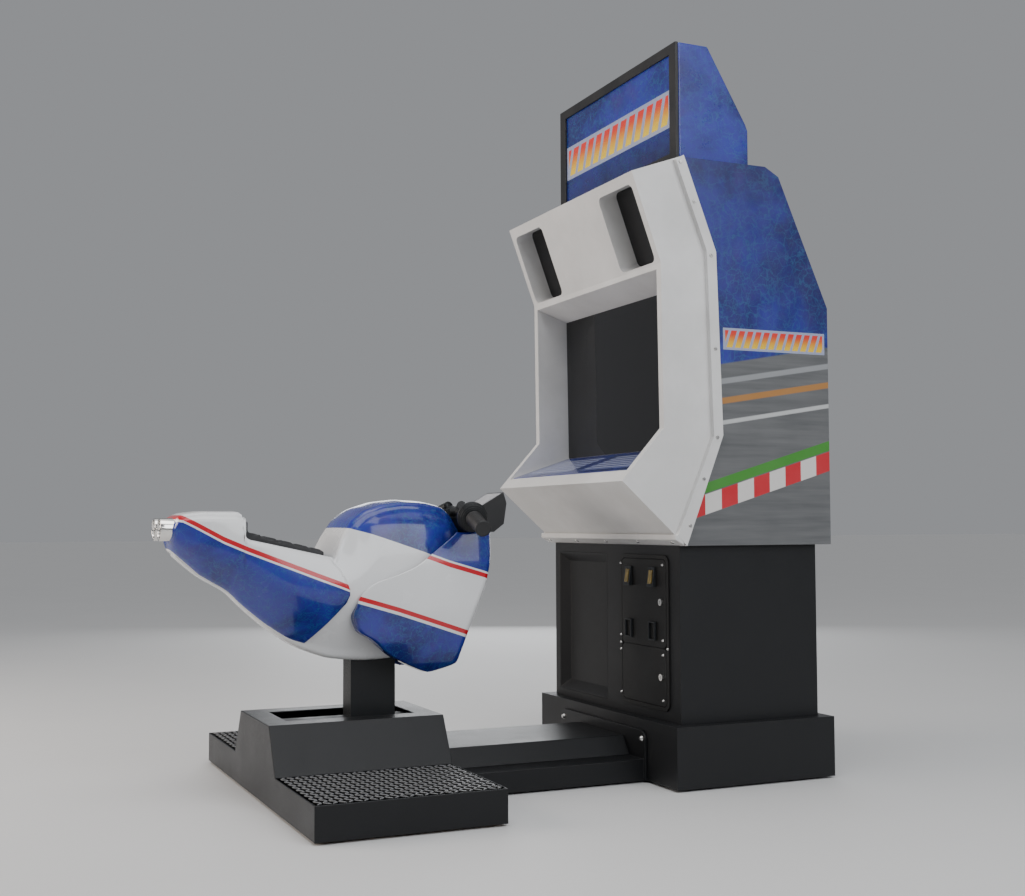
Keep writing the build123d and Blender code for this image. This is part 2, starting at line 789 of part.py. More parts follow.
service_z = (SERVICE_FOOT + SERVICE_TOP) / 2
service_face = lower_rear + SERVICE_THICKNESS
with BuildPart() as service_door:
    block(-service_half, service_half, lower_rear, service_face, SERVICE_FOOT, SERVICE_TOP)
    half_vent = 80
    vent_height = 6
    vent_pitch = 14
    vent_count = 6
    for row in range(vent_count):
        vent_z = SERVICE_TOP - 50 - row * vent_pitch
        block(-half_vent, half_vent, lower_rear, service_face, vent_z, vent_z + vent_height, Mode.SUBTRACT)
    with BuildSketch(facing(service_face)) as service_lock_hole:
        with Locations((SERVICE_LOCK_X, service_z)):
            Circle(LOCK_RADIUS + RUNNING)
    extrude(amount=SERVICE_THICKNESS, mode=Mode.SUBTRACT)
keep(service_door.part, "service_door")

service_lock_depth = BOARD + SERVICE_THICKNESS + cam_clearance + CAM_THICKNESS
keep(cam_lock(SERVICE_LOCK_X, service_z, service_face, service_lock_depth, 1), "service_door_lock")

with BuildPart() as mains_inlet:
    inlet_proud = 3
    inlet_right = inlet_left + inlet_width
    inlet_top = inlet_foot + inlet_height
    block(inlet_left, inlet_right, lower_rear - BOARD, lower_rear, inlet_foot, inlet_top)
    block(inlet_left - 6, inlet_right + 6, lower_rear, lower_rear + inlet_proud, inlet_foot - 5, inlet_top + 5)
    block(
        inlet_left + 6,
        inlet_left + 32,
        lower_rear + inlet_proud - 14,
        lower_rear + inlet_proud,
        inlet_foot + 5,
        inlet_top - 5,
        Mode.SUBTRACT,
    )
keep(mains_inlet.part, "mains_inlet")

tray_front = lower_rear - 190
tray_top = PLINTH_HEIGHT + 12
board_top = tray_top + 280
with BuildPart() as electronics_tray:
    block(-330, 330, tray_front, lower_rear - 50, PLINTH_HEIGHT, tray_top)
    block(-320, -110, tray_front, lower_rear - 70, tray_top, tray_top + 110)
    block(-60, 330, tray_front, tray_front + 6, tray_top, board_top)
    for chip_x in (-10, 70, 150, 230):
        block(chip_x, chip_x + 50, tray_front + 6, tray_front + 14, tray_top + 120, tray_top + 180)
keep(electronics_tray.part, "electronics_tray")

# ---------------------------------------------------------------- upper cabinet

half_upper = UPPER_WIDTH / 2
rear_along = upper_rear - plinth_front
side_outline = tower(
    [
        BEZEL_BACK[0],
        (rear_along, LOWER_TOP),
        (rear_along, REAR_WALL_TOP),
        ROOF_REAR,
        (ROOF_FRONT, UPPER_TOP),
        BEZEL_BACK[3],
        BEZEL_BACK[2],
        BEZEL_BACK[1],
    ]
)
for name, x in (("left_side_panel", -half_upper), ("right_side_panel", half_upper - BOARD)):
    with BuildPart() as side_panel:
        side_slab(side_outline, x, x + BOARD)
    keep(side_panel.part, name)

with BuildPart() as upper_carcass:
    inner_half = half_upper - BOARD
    side_slab(side_outline, -inner_half, inner_half)
    slope_inset = 1.08 * BOARD
    carcass_hollow = tower(
        [
            (-50, LOWER_TOP + BOARD),
            (rear_along - BOARD, LOWER_TOP + BOARD),
            (rear_along - BOARD, REAR_WALL_TOP - 4),
            (ROOF_REAR[0] - slope_inset, ROOF_REAR[1] - BOARD),
            (ROOF_FRONT, UPPER_TOP - BOARD),
            (-50, UPPER_TOP - BOARD),
        ]
    )
    side_slab(carcass_hollow, -inner_half, inner_half, Mode.SUBTRACT)
    wiring_half = 150
    wiring_depth = 160
    block(
        -wiring_half,
        wiring_half,
        lower_rear - BOARD - wiring_depth,
        lower_rear - BOARD,
        LOWER_TOP,
        LOWER_TOP + BOARD,
        Mode.SUBTRACT,
    )
    for row in range(6):
        vent_z = 1180 + row * 24
        block(-180, 180, upper_rear - BOARD, upper_rear, vent_z, vent_z + 10, Mode.SUBTRACT)
keep(upper_carcass.part, "upper_carcass")

# ---------------------------------------------------------------- bezel

half_recess = RECESS_WIDTH / 2
panel_run = PANEL_FOOT[0] - PANEL_TOP[0]
panel_drop = PANEL_FOOT[1] - PANEL_TOP[1]
panel_slope = (panel_run**2 + panel_drop**2) ** 0.5
panel_down = (panel_run / panel_slope, panel_drop / panel_slope)
panel_in = (-panel_down[1], panel_down[0])
bezel_outline = tower([PANEL_TOP, PANEL_FOOT, RIM_FOOT, NOSE, CHIN] + BEZEL_BACK)
wall = MOULDING
bezel_hollow = tower(
    [
        (PANEL_TOP[0] + 6, PANEL_TOP[1] - wall + 2),
        (PANEL_FOOT[0] + wall, PANEL_FOOT[1]),
        (RIM_FOOT[0] + wall, RIM_FOOT[1]),
        (NOSE[0] + 2 * wall, NOSE[1]),
        (CHIN[0] + wall, CHIN[1] + wall),
        (BEZEL_BACK[0][0], BEZEL_BACK[0][1] + 2 * wall),
        (BEZEL_BACK[1][0] + wall, BEZEL_BACK[1][1]),
        (BEZEL_BACK[2][0] + wall, BEZEL_BACK[2][1]),
        (BEZEL_BACK[3][0], BEZEL_BACK[3][1] - wall),
    ]
)
recess_block = tower(
    [
        (PANEL_FOOT[0], RECESS_TOP_FRONT[1] + wall),
        (RECESS_TOP_REAR[0] + 2 * wall, RECESS_TOP_REAR[1] + wall - 2),
        (SHELF_REAR[0] + 2 * wall, SHELF_REAR[1] - wall),
        (SHELF_FRONT[0] + 1, SHELF_FRONT[1] - wall),
        (NOSE[0] + 1, NOSE[1] - 1),
        NOSE,
        RIM_FOOT,
    ]
)
recess_air = tower(
    [
        (NOSE[0] - 40, RECESS_TOP_FRONT[1]),
        RECESS_TOP_FRONT,
        RECESS_TOP_REAR,
        (RECESS_TOP_REAR[0] + 20, RECESS_TOP_REAR[1]),
        (SHELF_REAR[0] + 20, SHELF_REAR[1]),
        SHELF_REAR,
        SHELF_FRONT,
        NOSE,
        (NOSE[0] - 40, NOSE[1]),
    ]
)


def on_panel(down, depth):
    """A point on the sloping speaker panel: distance down from its top edge, and depth behind it."""
    along = PANEL_TOP[0] + down * panel_down[0] + depth * panel_in[0]
    height = PANEL_TOP[1] + down * panel_down[1] + depth * panel_in[1]
    return (plinth_front + along, height)


pocket_x = (POCKET_INNER + POCKET_OUTER) / 2
pocket_centre_down = POCKET_FROM_TOP + POCKET_LENGTH / 2


def pocket_plane(side, depth):
    """A plane parallel to the speaker panel, centred on a pocket, its normal pointing out at the rider."""
    centre = on_panel(pocket_centre_down, depth)
    return Plane(
        origin=(side * pocket_x, centre[0], centre[1]),
        x_dir=(1, 0, 0),
        z_dir=(0, -panel_in[0], -panel_in[1]),
    )


def pocket_block(side, grow, start, end, mode):
    """A rounded block on a pocket's axis, between two depths behind the panel."""
    with BuildSketch(pocket_plane(side, end)) as mouth:
        RectangleRounded(POCKET_OUTER - POCKET_INNER + 2 * grow, POCKET_LENGTH + 2 * grow, POCKET_CORNER + grow)
    extrude(mouth.sketch, amount=end - start, mode=mode)


with BuildPart() as bezel_shroud:
    side_slab(bezel_outline, -half_upper, half_upper)
    flange_band = tower(FLANGE_STEP[::-1] + [BEZEL_BACK[3], BEZEL_BACK[2], BEZEL_BACK[1], BEZEL_BACK[0]])
    side_slab(flange_band, -BEZEL_FLANGE_WIDTH / 2, BEZEL_FLANGE_WIDTH / 2)
    side_slab(bezel_hollow, -half_upper + wall, half_upper - wall, Mode.SUBTRACT)
    side_slab(recess_block, -half_recess - wall, half_recess + wall)
    for side in (-1, 1):
        pocket_block(side, wall, 1, POCKET_DEPTH, Mode.ADD)
    side_slab(recess_air, -half_recess, half_recess, Mode.SUBTRACT)
    for side in (-1, 1):
        pocket_block(side, 0, -10, POCKET_DEPTH, Mode.SUBTRACT)
keep(bezel_shroud.part, "bezel_shroud")

with BuildPart() as speaker_grilles:
    for side in (-1, 1):
        pocket_block(side, wall, POCKET_DEPTH, POCKET_DEPTH + GRILLE_THICKNESS, Mode.ADD)
keep(speaker_grilles.part, "speaker_grilles")

with BuildPart() as speakers:
    for side in (-1, 1):
        speaker_end = POCKET_DEPTH + GRILLE_THICKNESS + SPEAKER_DEPTH
        rod(pocket_plane(side, speaker_end), SPEAKER_RADIUS, 0, SPEAKER_DEPTH)
keep(speakers.part, "speakers")

shelf_run = SHELF_REAR[0] - SHELF_FRONT[0]
shelf_rise = SHELF_REAR[1] - SHELF_FRONT[1]
shelf_length = (shelf_run**2 + shelf_rise**2) ** 0.5
shelf_plane = Plane(
    origin=(0, plinth_front + SHELF_FRONT[0], SHELF_FRONT[1]),
    x_dir=(1, 0, 0),
    z_dir=(0, -shelf_rise / shelf_length, shelf_run / shelf_length),
)
with BuildPart() as shelf_panel:
    with BuildSketch(shelf_plane):
        with Locations((0, shelf_length / 2)):
            Rectangle(RECESS_WIDTH - 2 * SHELF_PANEL_MARGIN, shelf_length - 2 * SHELF_PANEL_MARGIN)
    extrude(amount=SHELF_PANEL_THICKNESS)
keep(shelf_panel.part, "shelf_panel")

glass_outline = tower(
    [
        (RECESS_TOP_REAR[0], RECESS_TOP_REAR[1] - FIT),
        (RECESS_TOP_REAR[0] + GLASS_THICKNESS, RECESS_TOP_REAR[1] - FIT),
        (SHELF_REAR[0] + GLASS_THICKNESS, SHELF_REAR[1] + FIT),
        (SHELF_REAR[0], SHELF_REAR[1] + FIT),
    ]
)
with BuildPart() as screen_glass:
    side_slab(glass_outline, -half_recess + FIT, half_recess - FIT)
keep(screen_glass.part, "screen_glass")

mask_front = plinth_front + SHELF_REAR[0] + 2 * wall + MASK_GAP
mask_rear = mask_front + MASK_THICKNESS
screen_z = (RECESS_TOP_REAR[1] + SHELF_REAR[1]) / 2
mask_height = RECESS_TOP_REAR[1] - SHELF_REAR[1] + 2 * wall
with BuildPart() as screen_mask:
    rounded_plate(0, screen_z, RECESS_WIDTH, mask_height, 5, mask_front, mask_rear)
    rounded_plate(0, screen_z, TUBE_WIDTH - 30, TUBE_HEIGHT - 30, 40, mask_front, mask_rear, Mode.SUBTRACT)
keep(screen_mask.part, "screen_mask")

with BuildPart() as monitor_tube:
    rounded_plate(0, screen_z, TUBE_WIDTH, TUBE_HEIGHT, 45, mask_rear, mask_rear + TUBE_BAND)
    with BuildSketch(facing(mask_rear + TUBE_BAND)) as band_end:
        with Locations((0, screen_z)):
            Rectangle(TUBE_WIDTH - 100, TUBE_HEIGHT - 90)
    with BuildSketch(facing(mask_rear + TUBE_DEPTH * 0.7)) as funnel_end:
        with Locations((0, screen_z)):
            Rectangle(3 * NECK_RADIUS, 3 * NECK_RADIUS)
    loft([band_end.sketch.face(), funnel_end.sketch.face()], ruled=True)
    with BuildSketch(facing(mask_rear + TUBE_DEPTH)) as neck:
        with Locations((0, screen_z)):
            Circle(NECK_RADIUS)
    extrude(neck.sketch, amount=TUBE_DEPTH * 0.35)
keep(monitor_tube.part, "monitor_tube")

with BuildPart() as monitor_chassis:
    ring_front = mask_rear + 10
    ring_rear = mask_rear + TUBE_BAND - 8
    ring_border = 16
    rounded_plate(
        0, screen_z, TUBE_WIDTH + 2 * ring_border, TUBE_HEIGHT + 2 * ring_border, 30, ring_front, ring_rear
    )
    rounded_plate(
        0, screen_z, TUBE_WIDTH + 2 * FIT, TUBE_HEIGHT + 2 * FIT, 45 + FIT, ring_front, ring_rear, Mode.SUBTRACT
    )
    chassis_foot = screen_z - TUBE_HEIGHT / 2 - ring_border
    for side in (-1, 1):
        arm_inner = TUBE_WIDTH / 2 + ring_border
        arm_outer = half_upper - BOARD
        for arm_z in (chassis_foot + 60, chassis_foot + 360):
            block(
                min(side * arm_inner, side * arm_outer),
                max(side * arm_inner, side * arm_outer),
                ring_front,
                ring_rear,
                arm_z,
                arm_z + 40,
            )
    block(-200, 200, ring_front, ring_front + 260, chassis_foot - 10, chassis_foot)
keep(monitor_chassis.part, "monitor_chassis")

# ---------------------------------------------------------------- marquee

half_marquee = MARQUEE_WIDTH / 2
marquee_front = plinth_front + MARQUEE_FRONT
marquee_outline = tower(
    [
        (MARQUEE_FRONT + MARQUEE_FRAME_DEPTH, UPPER_TOP),
        (MARQUEE_FRONT + MARQUEE_FRAME_DEPTH, MARQUEE_TOP),
        (MARQUEE_ROOF_REAR, MARQUEE_TOP),
        MARQUEE_SLOPE_FOOT,
        (MARQUEE_BACK, MARQUEE_SLOPE_FOOT[1] - 20),
        (MARQUEE_BACK, UPPER_TOP),
    ]
)
marquee_hollow = tower(
    [
        (MARQUEE_FRONT, UPPER_TOP + MARQUEE_WALL),
        (MARQUEE_FRONT, MARQUEE_TOP - MARQUEE_WALL),
        (MARQUEE_ROOF_REAR - MARQUEE_WALL / 2, MARQUEE_TOP - MARQUEE_WALL),
        (MARQUEE_SLOPE_FOOT[0] - MARQUEE_WALL - 1, MARQUEE_SLOPE_FOOT[1] - 6),
        (MARQUEE_BACK - MARQUEE_WALL, MARQUEE_SLOPE_FOOT[1] - 22),
        (MARQUEE_BACK - MARQUEE_WALL, UPPER_TOP + MARQUEE_WALL),
    ]
)
with BuildPart() as marquee_housing:
    side_slab(marquee_outline, -half_marquee, half_marquee)
    side_slab(marquee_hollow, -half_marquee + MARQUEE_WALL, half_marquee - MARQUEE_WALL, Mode.SUBTRACT)
keep(marquee_housing.part, "marquee_housing")

frame_rear = marquee_front + MARQUEE_FRAME_DEPTH
window_half = half_marquee - MARQUEE_FRAME_SIDE
window_foot = UPPER_TOP + MARQUEE_FRAME_TOP
window_top = MARQUEE_TOP - MARQUEE_FRAME_TOP
panel_lip = 12
panel_thickness = 3
with BuildPart() as marquee_frame:
    block(-half_marquee, half_marquee, marquee_front, frame_rear, UPPER_TOP, MARQUEE_TOP)
    block(-window_half, window_half, marquee_front, frame_rear, window_foot, window_top, Mode.SUBTRACT)
    block(
        -window_half - panel_lip,
        window_half + panel_lip,
        frame_rear - panel_thickness - FIT,
        frame_rear,
        window_foot - panel_lip,
        window_top + panel_lip,
        Mode.SUBTRACT,
    )
keep(marquee_frame.part, "marquee_frame")

with BuildPart() as marquee_panel:
    block(
        -window_half - panel_lip + FIT,
        window_half + panel_lip - FIT,
        frame_rear - panel_thickness - FIT,
        frame_rear - FIT,
        window_foot - panel_lip + FIT,
        window_top + panel_lip - FIT,
    )
keep(marquee_panel.part, "marquee_panel")

with BuildPart() as marquee_lamp:
    lamp_y = marquee_front + 110
    lamp_z = (window_foot + window_top) / 2
    lamp_plane = Plane(origin=(0, lamp_y, lamp_z), x_dir=(0, 1, 0), z_dir=(1, 0, 0))
    rod(lamp_plane, LAMP_RADIUS, -LAMP_LENGTH / 2, LAMP_LENGTH / 2)
    for side in (-1, 1):
        holder_inner = side * LAMP_LENGTH / 2
        holder_outer = side * (LAMP_LENGTH / 2 + 25)
        block(
            min(holder_inner, holder_outer),
            max(holder_inner, holder_outer),
            lamp_y - 20,
            lamp_y + 20,
            UPPER_TOP + MARQUEE_WALL,
            lamp_z + 20,
        )
keep(marquee_lamp.part, "marquee_lamp")

# ---------------------------------------------------------------- screws and bolts

half_flange = BEZEL_FLANGE_WIDTH / 2
flange_screws_at = [
    (plinth_front + along, height)
    for along, height in ((30, 1788), (75, 1676), (130, 1523), (141, 1253), (144, 997), (97, 877), (50, 744))
]
hinge_screw_x = DOOR_CENTRE - DOOR_FRAME_WIDTH / 2 + DOOR_MARGIN / 2
catch_screw_x = DOOR_CENTRE + DOOR_FRAME_WIDTH / 2 - DOOR_MARGIN / 2
frame_screws_at = [(hinge_screw_x, z) for z in (630, 412, DOOR_SPLIT, 368, 238)] + [(catch_screw_x, DOOR_SPLIT)]
door_screw_radius = 4.5
door_screw_x = DOOR_CENTRE + 112
upper_door_screws_at = [(door_screw_x, 630), (door_screw_x, 411)]
cash_door_screws_at = [(door_screw_x, 369), (door_screw_x, 238)]

with BuildPart() as right_flange_screws:
    domed_screws(across(half_flange), flange_screws_at)

with BuildPart() as cabinet_screws:
    add(right_flange_screws.part)
    add(mirrored(right_flange_screws.part))
    domed_screws(facing(flange_rear), flange_bolts_at, FLANGE_BOLT_RADIUS, FLANGE_BOLT_HEIGHT)
    domed_screws(facing(door_front), frame_screws_at, door_screw_radius)
keep(cabinet_screws.part, "cabinet_screws")

with BuildPart() as upper_door_screws:
    domed_screws(facing(door_front), upper_door_screws_at, door_screw_radius)
keep(upper_door_screws.part, "upper_door_screws")

with BuildPart() as cash_door_screws:
    domed_screws(facing(door_front), cash_door_screws_at, door_screw_radius)
keep(cash_door_screws.part, "cash_door_screws")

# ---------------------------------------------------------------- lean shaft, column and slot cover

half_column_width = COLUMN_WIDTH / 2
half_column_length = COLUMN_LENGTH / 2

with BuildPart() as pivot_shaft:
    rod(shaft_plane, SHAFT_RADIUS, shaft_rear - 5, shaft_front + 5)
keep(pivot_shaft.part, "pivot_shaft")

hub_half_length = half_column_length + 12
beam_half = 35
beam_foot = COLUMN_TOP
beam_top = COLUMN_TOP + 40
seat_post_y = column_y - 130
neck_y = column_y + NECK_FROM_COLUMN
riser_front = column_y + 180
riser_top = 600
with BuildPart() as lean_column:
    block(
        -half_column_width,
        half_column_width,
        column_y - half_column_length,
        column_y + half_column_length,
        PIVOT_HEIGHT,
        COLUMN_TOP,
    )
    block(
        -half_column_width + COLUMN_WALL,
        half_column_width - COLUMN_WALL,
        column_y - half_column_length + COLUMN_WALL,
        column_y + half_column_length - COLUMN_WALL,
        PIVOT_HEIGHT + HUB_RADIUS,
        COLUMN_TOP,
        Mode.SUBTRACT,
    )
    rod(shaft_plane, HUB_RADIUS, column_y - hub_half_length, column_y + hub_half_length)
    block(
        -LEAN_ARM_REACH,
        LEAN_ARM_REACH,
        column_y - LEAN_ARM_LENGTH / 2,
        column_y + LEAN_ARM_LENGTH / 2,
        LEAN_ARM_HEIGHT,
        LEAN_ARM_HEIGHT + LEAN_ARM_THICKNESS,
    )
    block(-beam_half, beam_half, seat_post_y - 20, riser_front, beam_foot, beam_top)
    block(-beam_half, beam_half, riser_front - 30, riser_front, beam_top, riser_top)
    block(-beam_half, beam_half, riser_front, neck_y + NECK_HALF, riser_top - 40, riser_top)
    block(-beam_half, beam_half, seat_post_y - 20, seat_post_y + 20, beam_top, 640)
    block(-beam_half, beam_half, neck_y - NECK_HALF, neck_y + NECK_HALF, riser_top, NECK_TOP)
    rod(shaft_plane, SHAFT_RADIUS + RUNNING, column_y - 200, column_y + 200, Mode.SUBTRACT)
keep(lean_column.part, "lean_column")

slot_cover_margin = 12
cover_half_angle = 60
with BuildPart() as slot_cover:
    cover_start = slot_rear - slot_cover_margin
    cover_end = slot_front + slot_cover_margin
    rod(shaft_plane, SLOT_COVER_RADIUS, cover_start, cover_end)
    rod(shaft_plane, SLOT_COVER_RADIUS - SLOT_COVER_THICKNESS, cover_start, cover_end, Mode.SUBTRACT)
    cover_foot = PIVOT_HEIGHT + SLOT_COVER_RADIUS / 2
    block(
        -SLOT_COVER_RADIUS,
        SLOT_COVER_RADIUS,
        cover_start,
        cover_end,
        PIVOT_HEIGHT - SLOT_COVER_RADIUS,
        cover_foot,
        Mode.SUBTRACT,
    )
    block(
        -half_column_width,
        half_column_width,
        column_y - half_column_length,
        column_y + half_column_length,
        cover_foot,
        COLUMN_TOP,
        Mode.SUBTRACT,
    )
keep(slot_cover.part, "slot_cover")

# ---------------------------------------------------------------- bike shells

# Cross-sections of the body from tail to tank: distance from the column, then four levels from keel to crown,
# each as (height, half-width).
BODY_SECTIONS = [
    (-583, (704, 40), (722, 60), (752, 60), (766, 46)),
    (-557, (680, 46), (716, 82), (760, 80), (777, 62)),
    (-482, (630, 50), (700, 102), (766, 96), (786, 74)),
    (-377, (541, 54), (664, 124), (762, 112), (787, 86)),
    (-257, (442, 56), (600, 144), (730, 130), (790, 88)),
    (-132, (378, 58), (570, 152), (735, 140), (794, 84)),
    (-12, (366, 62), (560, 156), (745, 146), (816, 74)),
    (108, (348, 62), (560, 156), (745, 140), (821, 66)),
    (198, (420, 60), (570, 140), (740, 120), (804, 54)),
    (244, (520, 56), (600, 110), (700, 92), (746, 52)),
]


def body_ring(section, grow):
    """The eight corners of a body cross-section, grown outwards or (negative) inwards."""
    levels = section[1:]
    heights = [levels[0][0] - grow, levels[1][0], levels[2][0], levels[3][0] + grow]
    halves = [level[1] + grow for level in levels]
    right = list(zip(halves, heights))
    left = [(-half, height) for half, height in reversed(right)]
    return right + left


def body_form(grow, sections):
    """The lofted form of the body, grown by a wall thickness."""
    faces = []
    for section in sections:
        with BuildSketch(facing(column_y + section[0])) as ring:
            with BuildLine():
                Polyline(*body_ring(section, grow), close=True)
            make_face()
        faces.append(ring.sketch.face())
    return loft(faces, ruled=True, mode=Mode.PRIVATE)


def with_ends(grow):
    """The body sections with the first and last moved outwards along Y by a wall thickness."""
    first = (BODY_SECTIONS[0][0] - grow,) + BODY_SECTIONS[0][1:]
    last = (BODY_SECTIONS[-1][0] + grow,) + BODY_SECTIONS[-1][1:]
    return [first] + BODY_SECTIONS[1:-1] + [last]


BACKREST_TOP = (-392, 772)
BACKREST_FOOT = (-387, 720)
SEAT_FRONT = (-150, 662)
TANK_REAR = [(-132, 716), (-110, 765), (-73, 799)]
ABOVE = 900
seat_notch = bike([(BACKREST_TOP[0], ABOVE), BACKREST_TOP, BACKREST_FOOT, SEAT_FRONT] + TANK_REAR + [(-73, ABOVE)])
seat_notch_inner = bike(
    [
        (BACKREST_TOP[0] - wall, ABOVE),
        (BACKREST_TOP[0] - wall, BACKREST_TOP[1]),
        (BACKREST_FOOT[0] - wall, BACKREST_FOOT[1] - wall),
        (SEAT_FRONT[0] + 3, SEAT_FRONT[1] - wall),
        (TANK_REAR[0][0] + wall, TANK_REAR[0][1]),
        (TANK_REAR[1][0] + wall, TANK_REAR[1][1]),
        (TANK_REAR[2][0] + 1, TANK_REAR[2][1] - wall),
        (-72, ABOVE),
    ]
)
PAD_PROUD = 10
seat_pad_outline = bike(
    [(-154, 676), (-160, 650), (-385, 702), (-402, 708), (-406, 770), (-384, 776), (-377, 728)]
)
seat_tray_outline = bike(
    [(-150, 664), (-156, 645), (-386, 697), (-406, 704), (-410, 772), (-392, 772), (-387, 720)]
)

exhaust_tip_y = column_y - EXHAUST_TIP
exhaust_plane = [
    Plane(origin=(x, 0, EXHAUST_HEIGHT), x_dir=(1, 0, 0), z_dir=(0, 1, 0))
    for x in (-EXHAUST_SPREAD, EXHAUST_SPREAD)
]
exhaust_hole_radius = EXHAUST_RADIUS + FIT
exhaust_end_y = exhaust_tip_y + EXHAUST_LENGTH

with BuildPart() as exhausts:
    for plane in exhaust_plane:
        rod(plane, EXHAUST_RADIUS, exhaust_tip_y, exhaust_tip_y + EXHAUST_LENGTH)
        rod(plane, EXHAUST_BORE, exhaust_tip_y, exhaust_tip_y + EXHAUST_LENGTH - 20, Mode.SUBTRACT)
keep(exhausts.part, "exhausts")

with BuildPart() as seat_tray:
    add(body_form(0, BODY_SECTIONS))
    side_slab(seat_tray_outline, -PAD_WIDTH / 2 - PAD_TRAY, PAD_WIDTH / 2 + PAD_TRAY, Mode.INTERSECT)

with BuildPart() as body_shell:
    add(body_form(0, BODY_SECTIONS))
    side_slab(seat_notch, -half_upper, half_upper, Mode.SUBTRACT)
    with BuildPart(mode=Mode.PRIVATE) as body_hollow:
        add(body_form(-MOULDING, with_ends(-MOULDING)))
        side_slab(seat_notch_inner, -half_upper, half_upper, Mode.SUBTRACT)
    add(body_hollow.part, mode=Mode.SUBTRACT)
    add(seat_tray.part)
    side_slab(seat_pad_outline, -PAD_WIDTH / 2, PAD_WIDTH / 2, Mode.SUBTRACT)
    block(
        -half_column_width,
        half_column_width,
        column_y - half_column_length,
        column_y + half_column_length,
        PIVOT_HEIGHT,
        COLUMN_TOP,
        Mode.SUBTRACT,
    )
    block(
        -beam_half - FIT,
        beam_half + FIT,
        neck_y - NECK_HALF - FIT,
        neck_y + NECK_HALF + FIT,
        riser_top,
        NECK_TOP,
        Mode.SUBTRACT,
    )
    for plane in exhaust_plane:
        rod(plane, exhaust_hole_radius, exhaust_tip_y - 1, exhaust_end_y + 1, Mode.SUBTRACT)
keep(body_shell.part, "body_shell")

with BuildPart() as seat_pad:
    side_slab(seat_pad_outline, -PAD_WIDTH / 2, PAD_WIDTH / 2)
keep(seat_pad.part, "seat_pad")

tail_panel_outline = bike(
    [
        (-577, 741),
        (-555, 768),
        (-505, 747),
        (-397, 688),
        (-234, 623),
        (-107, 572),
        (-92, 553),
        (-220, 431),
        (-312, 481),
        (-392, 553),
        (-460, 612),
        (-528, 668),
        (-572, 706),
    ]
)
panel_inner_x = 40
with BuildPart() as right_tail_panel:
    add(body_form(PANEL_THICKNESS, BODY_SECTIONS))
    side_slab(tail_panel_outline, panel_inner_x, half_upper, Mode.INTERSECT)
    add(body_form(0, BODY_SECTIONS), mode=Mode.SUBTRACT)
    rod(exhaust_plane[1], exhaust_hole_radius, exhaust_tip_y, exhaust_end_y, Mode.SUBTRACT)
keep(right_tail_panel.part, "right_tail_panel")
keep(mirrored(right_tail_panel.part), "left_tail_panel")

# Front fairing: side, plan and front outlines, then the body and a hollow are taken out of it.
fairing_side = bike(
    [
        (-90, 556),
        (10, 620),
        (112, 683),
        (168, 722),
        (190, FAIRING_TOP),
        (360, FAIRING_TOP),
        (360, 640),
        (244, 458),
        (218, 355),
        (170, 341),
        (118, 338),
        (46, 367),
        (-84, 478),
        (-96, 505),
    ]
)
fairing_plan = [(-100, 164), (10, 176), (150, 188), (270, 186), (312, 160), (344, 100), (352, 40)]
fairing_front = [(120, 330), (168, 420), (190, 560), (188, 640), (172, FAIRING_TOP)]


def fairing_form(inset):
    """The fairing's outer form, or the same form with its sides drawn in."""
    plan_right = [(half - inset, column_y + along - (inset if along > 300 else 0)) for along, half in fairing_plan]
    front_right = [(half - inset, height) for half, height in fairing_front]
    with BuildPart() as form:
        side_slab(fairing_side, -half_upper, half_upper)
        slab(Plane.XY, plan_right + [(-x, y) for x, y in reversed(plan_right)], 1000, Mode.INTERSECT)
        slab(
            facing(plinth_front),
            front_right + [(-x, z) for x, z in reversed(front_right)],
            plinth_front - platform_rear,
            Mode.INTERSECT,
        )
    return form.part


with BuildPart() as front_fairing:
    add(fairing_form(0))
    add(body_form(0, BODY_SECTIONS), mode=Mode.SUBTRACT)
    with BuildPart(mode=Mode.PRIVATE) as fairing_hollow:
        add(fairing_form(FAIRING_WALL))
        block(
            -half_upper,
            half_upper,
            column_y + FAIRING_HOLLOW_FROM,
            plinth_front,
            0,
            ABOVE,
            Mode.INTERSECT,
        )
    add(fairing_hollow.part, mode=Mode.SUBTRACT)
keep(front_fairing.part, "front_fairing")

# ---------------------------------------------------------------- handlebar, grips and dash

grip_length = sum(value**2 for value in GRIP_DIRECTION) ** 0.5
grip_plane = Plane(
    origin=(GRIP_ROOT[0], column_y + GRIP_ROOT[1], GRIP_ROOT[2]),
    x_dir=(0, 1, 0),
    z_dir=GRIP_DIRECTION,
)
grip_start = FLANGE_DISCS[-1][2]
grip_end = grip_start + GRIP_LENGTH
yoke_half = 75
yoke_foot = NECK_TOP
yoke_top = NECK_TOP + 13
clamp_rear = column_y + 246
clamp_front = column_y + 300
bar_inner = -150

with BuildPart() as right_bar:
    rod(grip_plane, BAR_RADIUS, bar_inner, FLANGE_DISCS[0][1])
    for radius, start, end in FLANGE_DISCS:
        rod(grip_plane, radius, start, end)
    rod(grip_plane, GRIP_CORE_RADIUS, grip_start, grip_end)

with BuildPart() as handlebar:
    add(right_bar.part)
    add(mirrored(right_bar.part))
    block(-yoke_half, yoke_half, neck_y - NECK_HALF, clamp_front, yoke_foot, yoke_top)
    block(-yoke_half, yoke_half, clamp_rear, clamp_front, FAIRING_TOP, yoke_foot)
keep(handlebar.part, "handlebar")


def grip_sleeve():
    """The grip on the rider's right, closed at its outer end."""
    with BuildPart() as sleeve:
        rod(grip_plane, GRIP_RADIUS, grip_start + FIT, grip_end + GRIP_CAP)
        rod(grip_plane, GRIP_CORE_RADIUS + RUNNING, grip_start, grip_end + FIT, Mode.SUBTRACT)
    return sleeve.part


keep(grip_sleeve(), "throttle_grip")
keep(mirrored(grip_sleeve()), "left_grip")

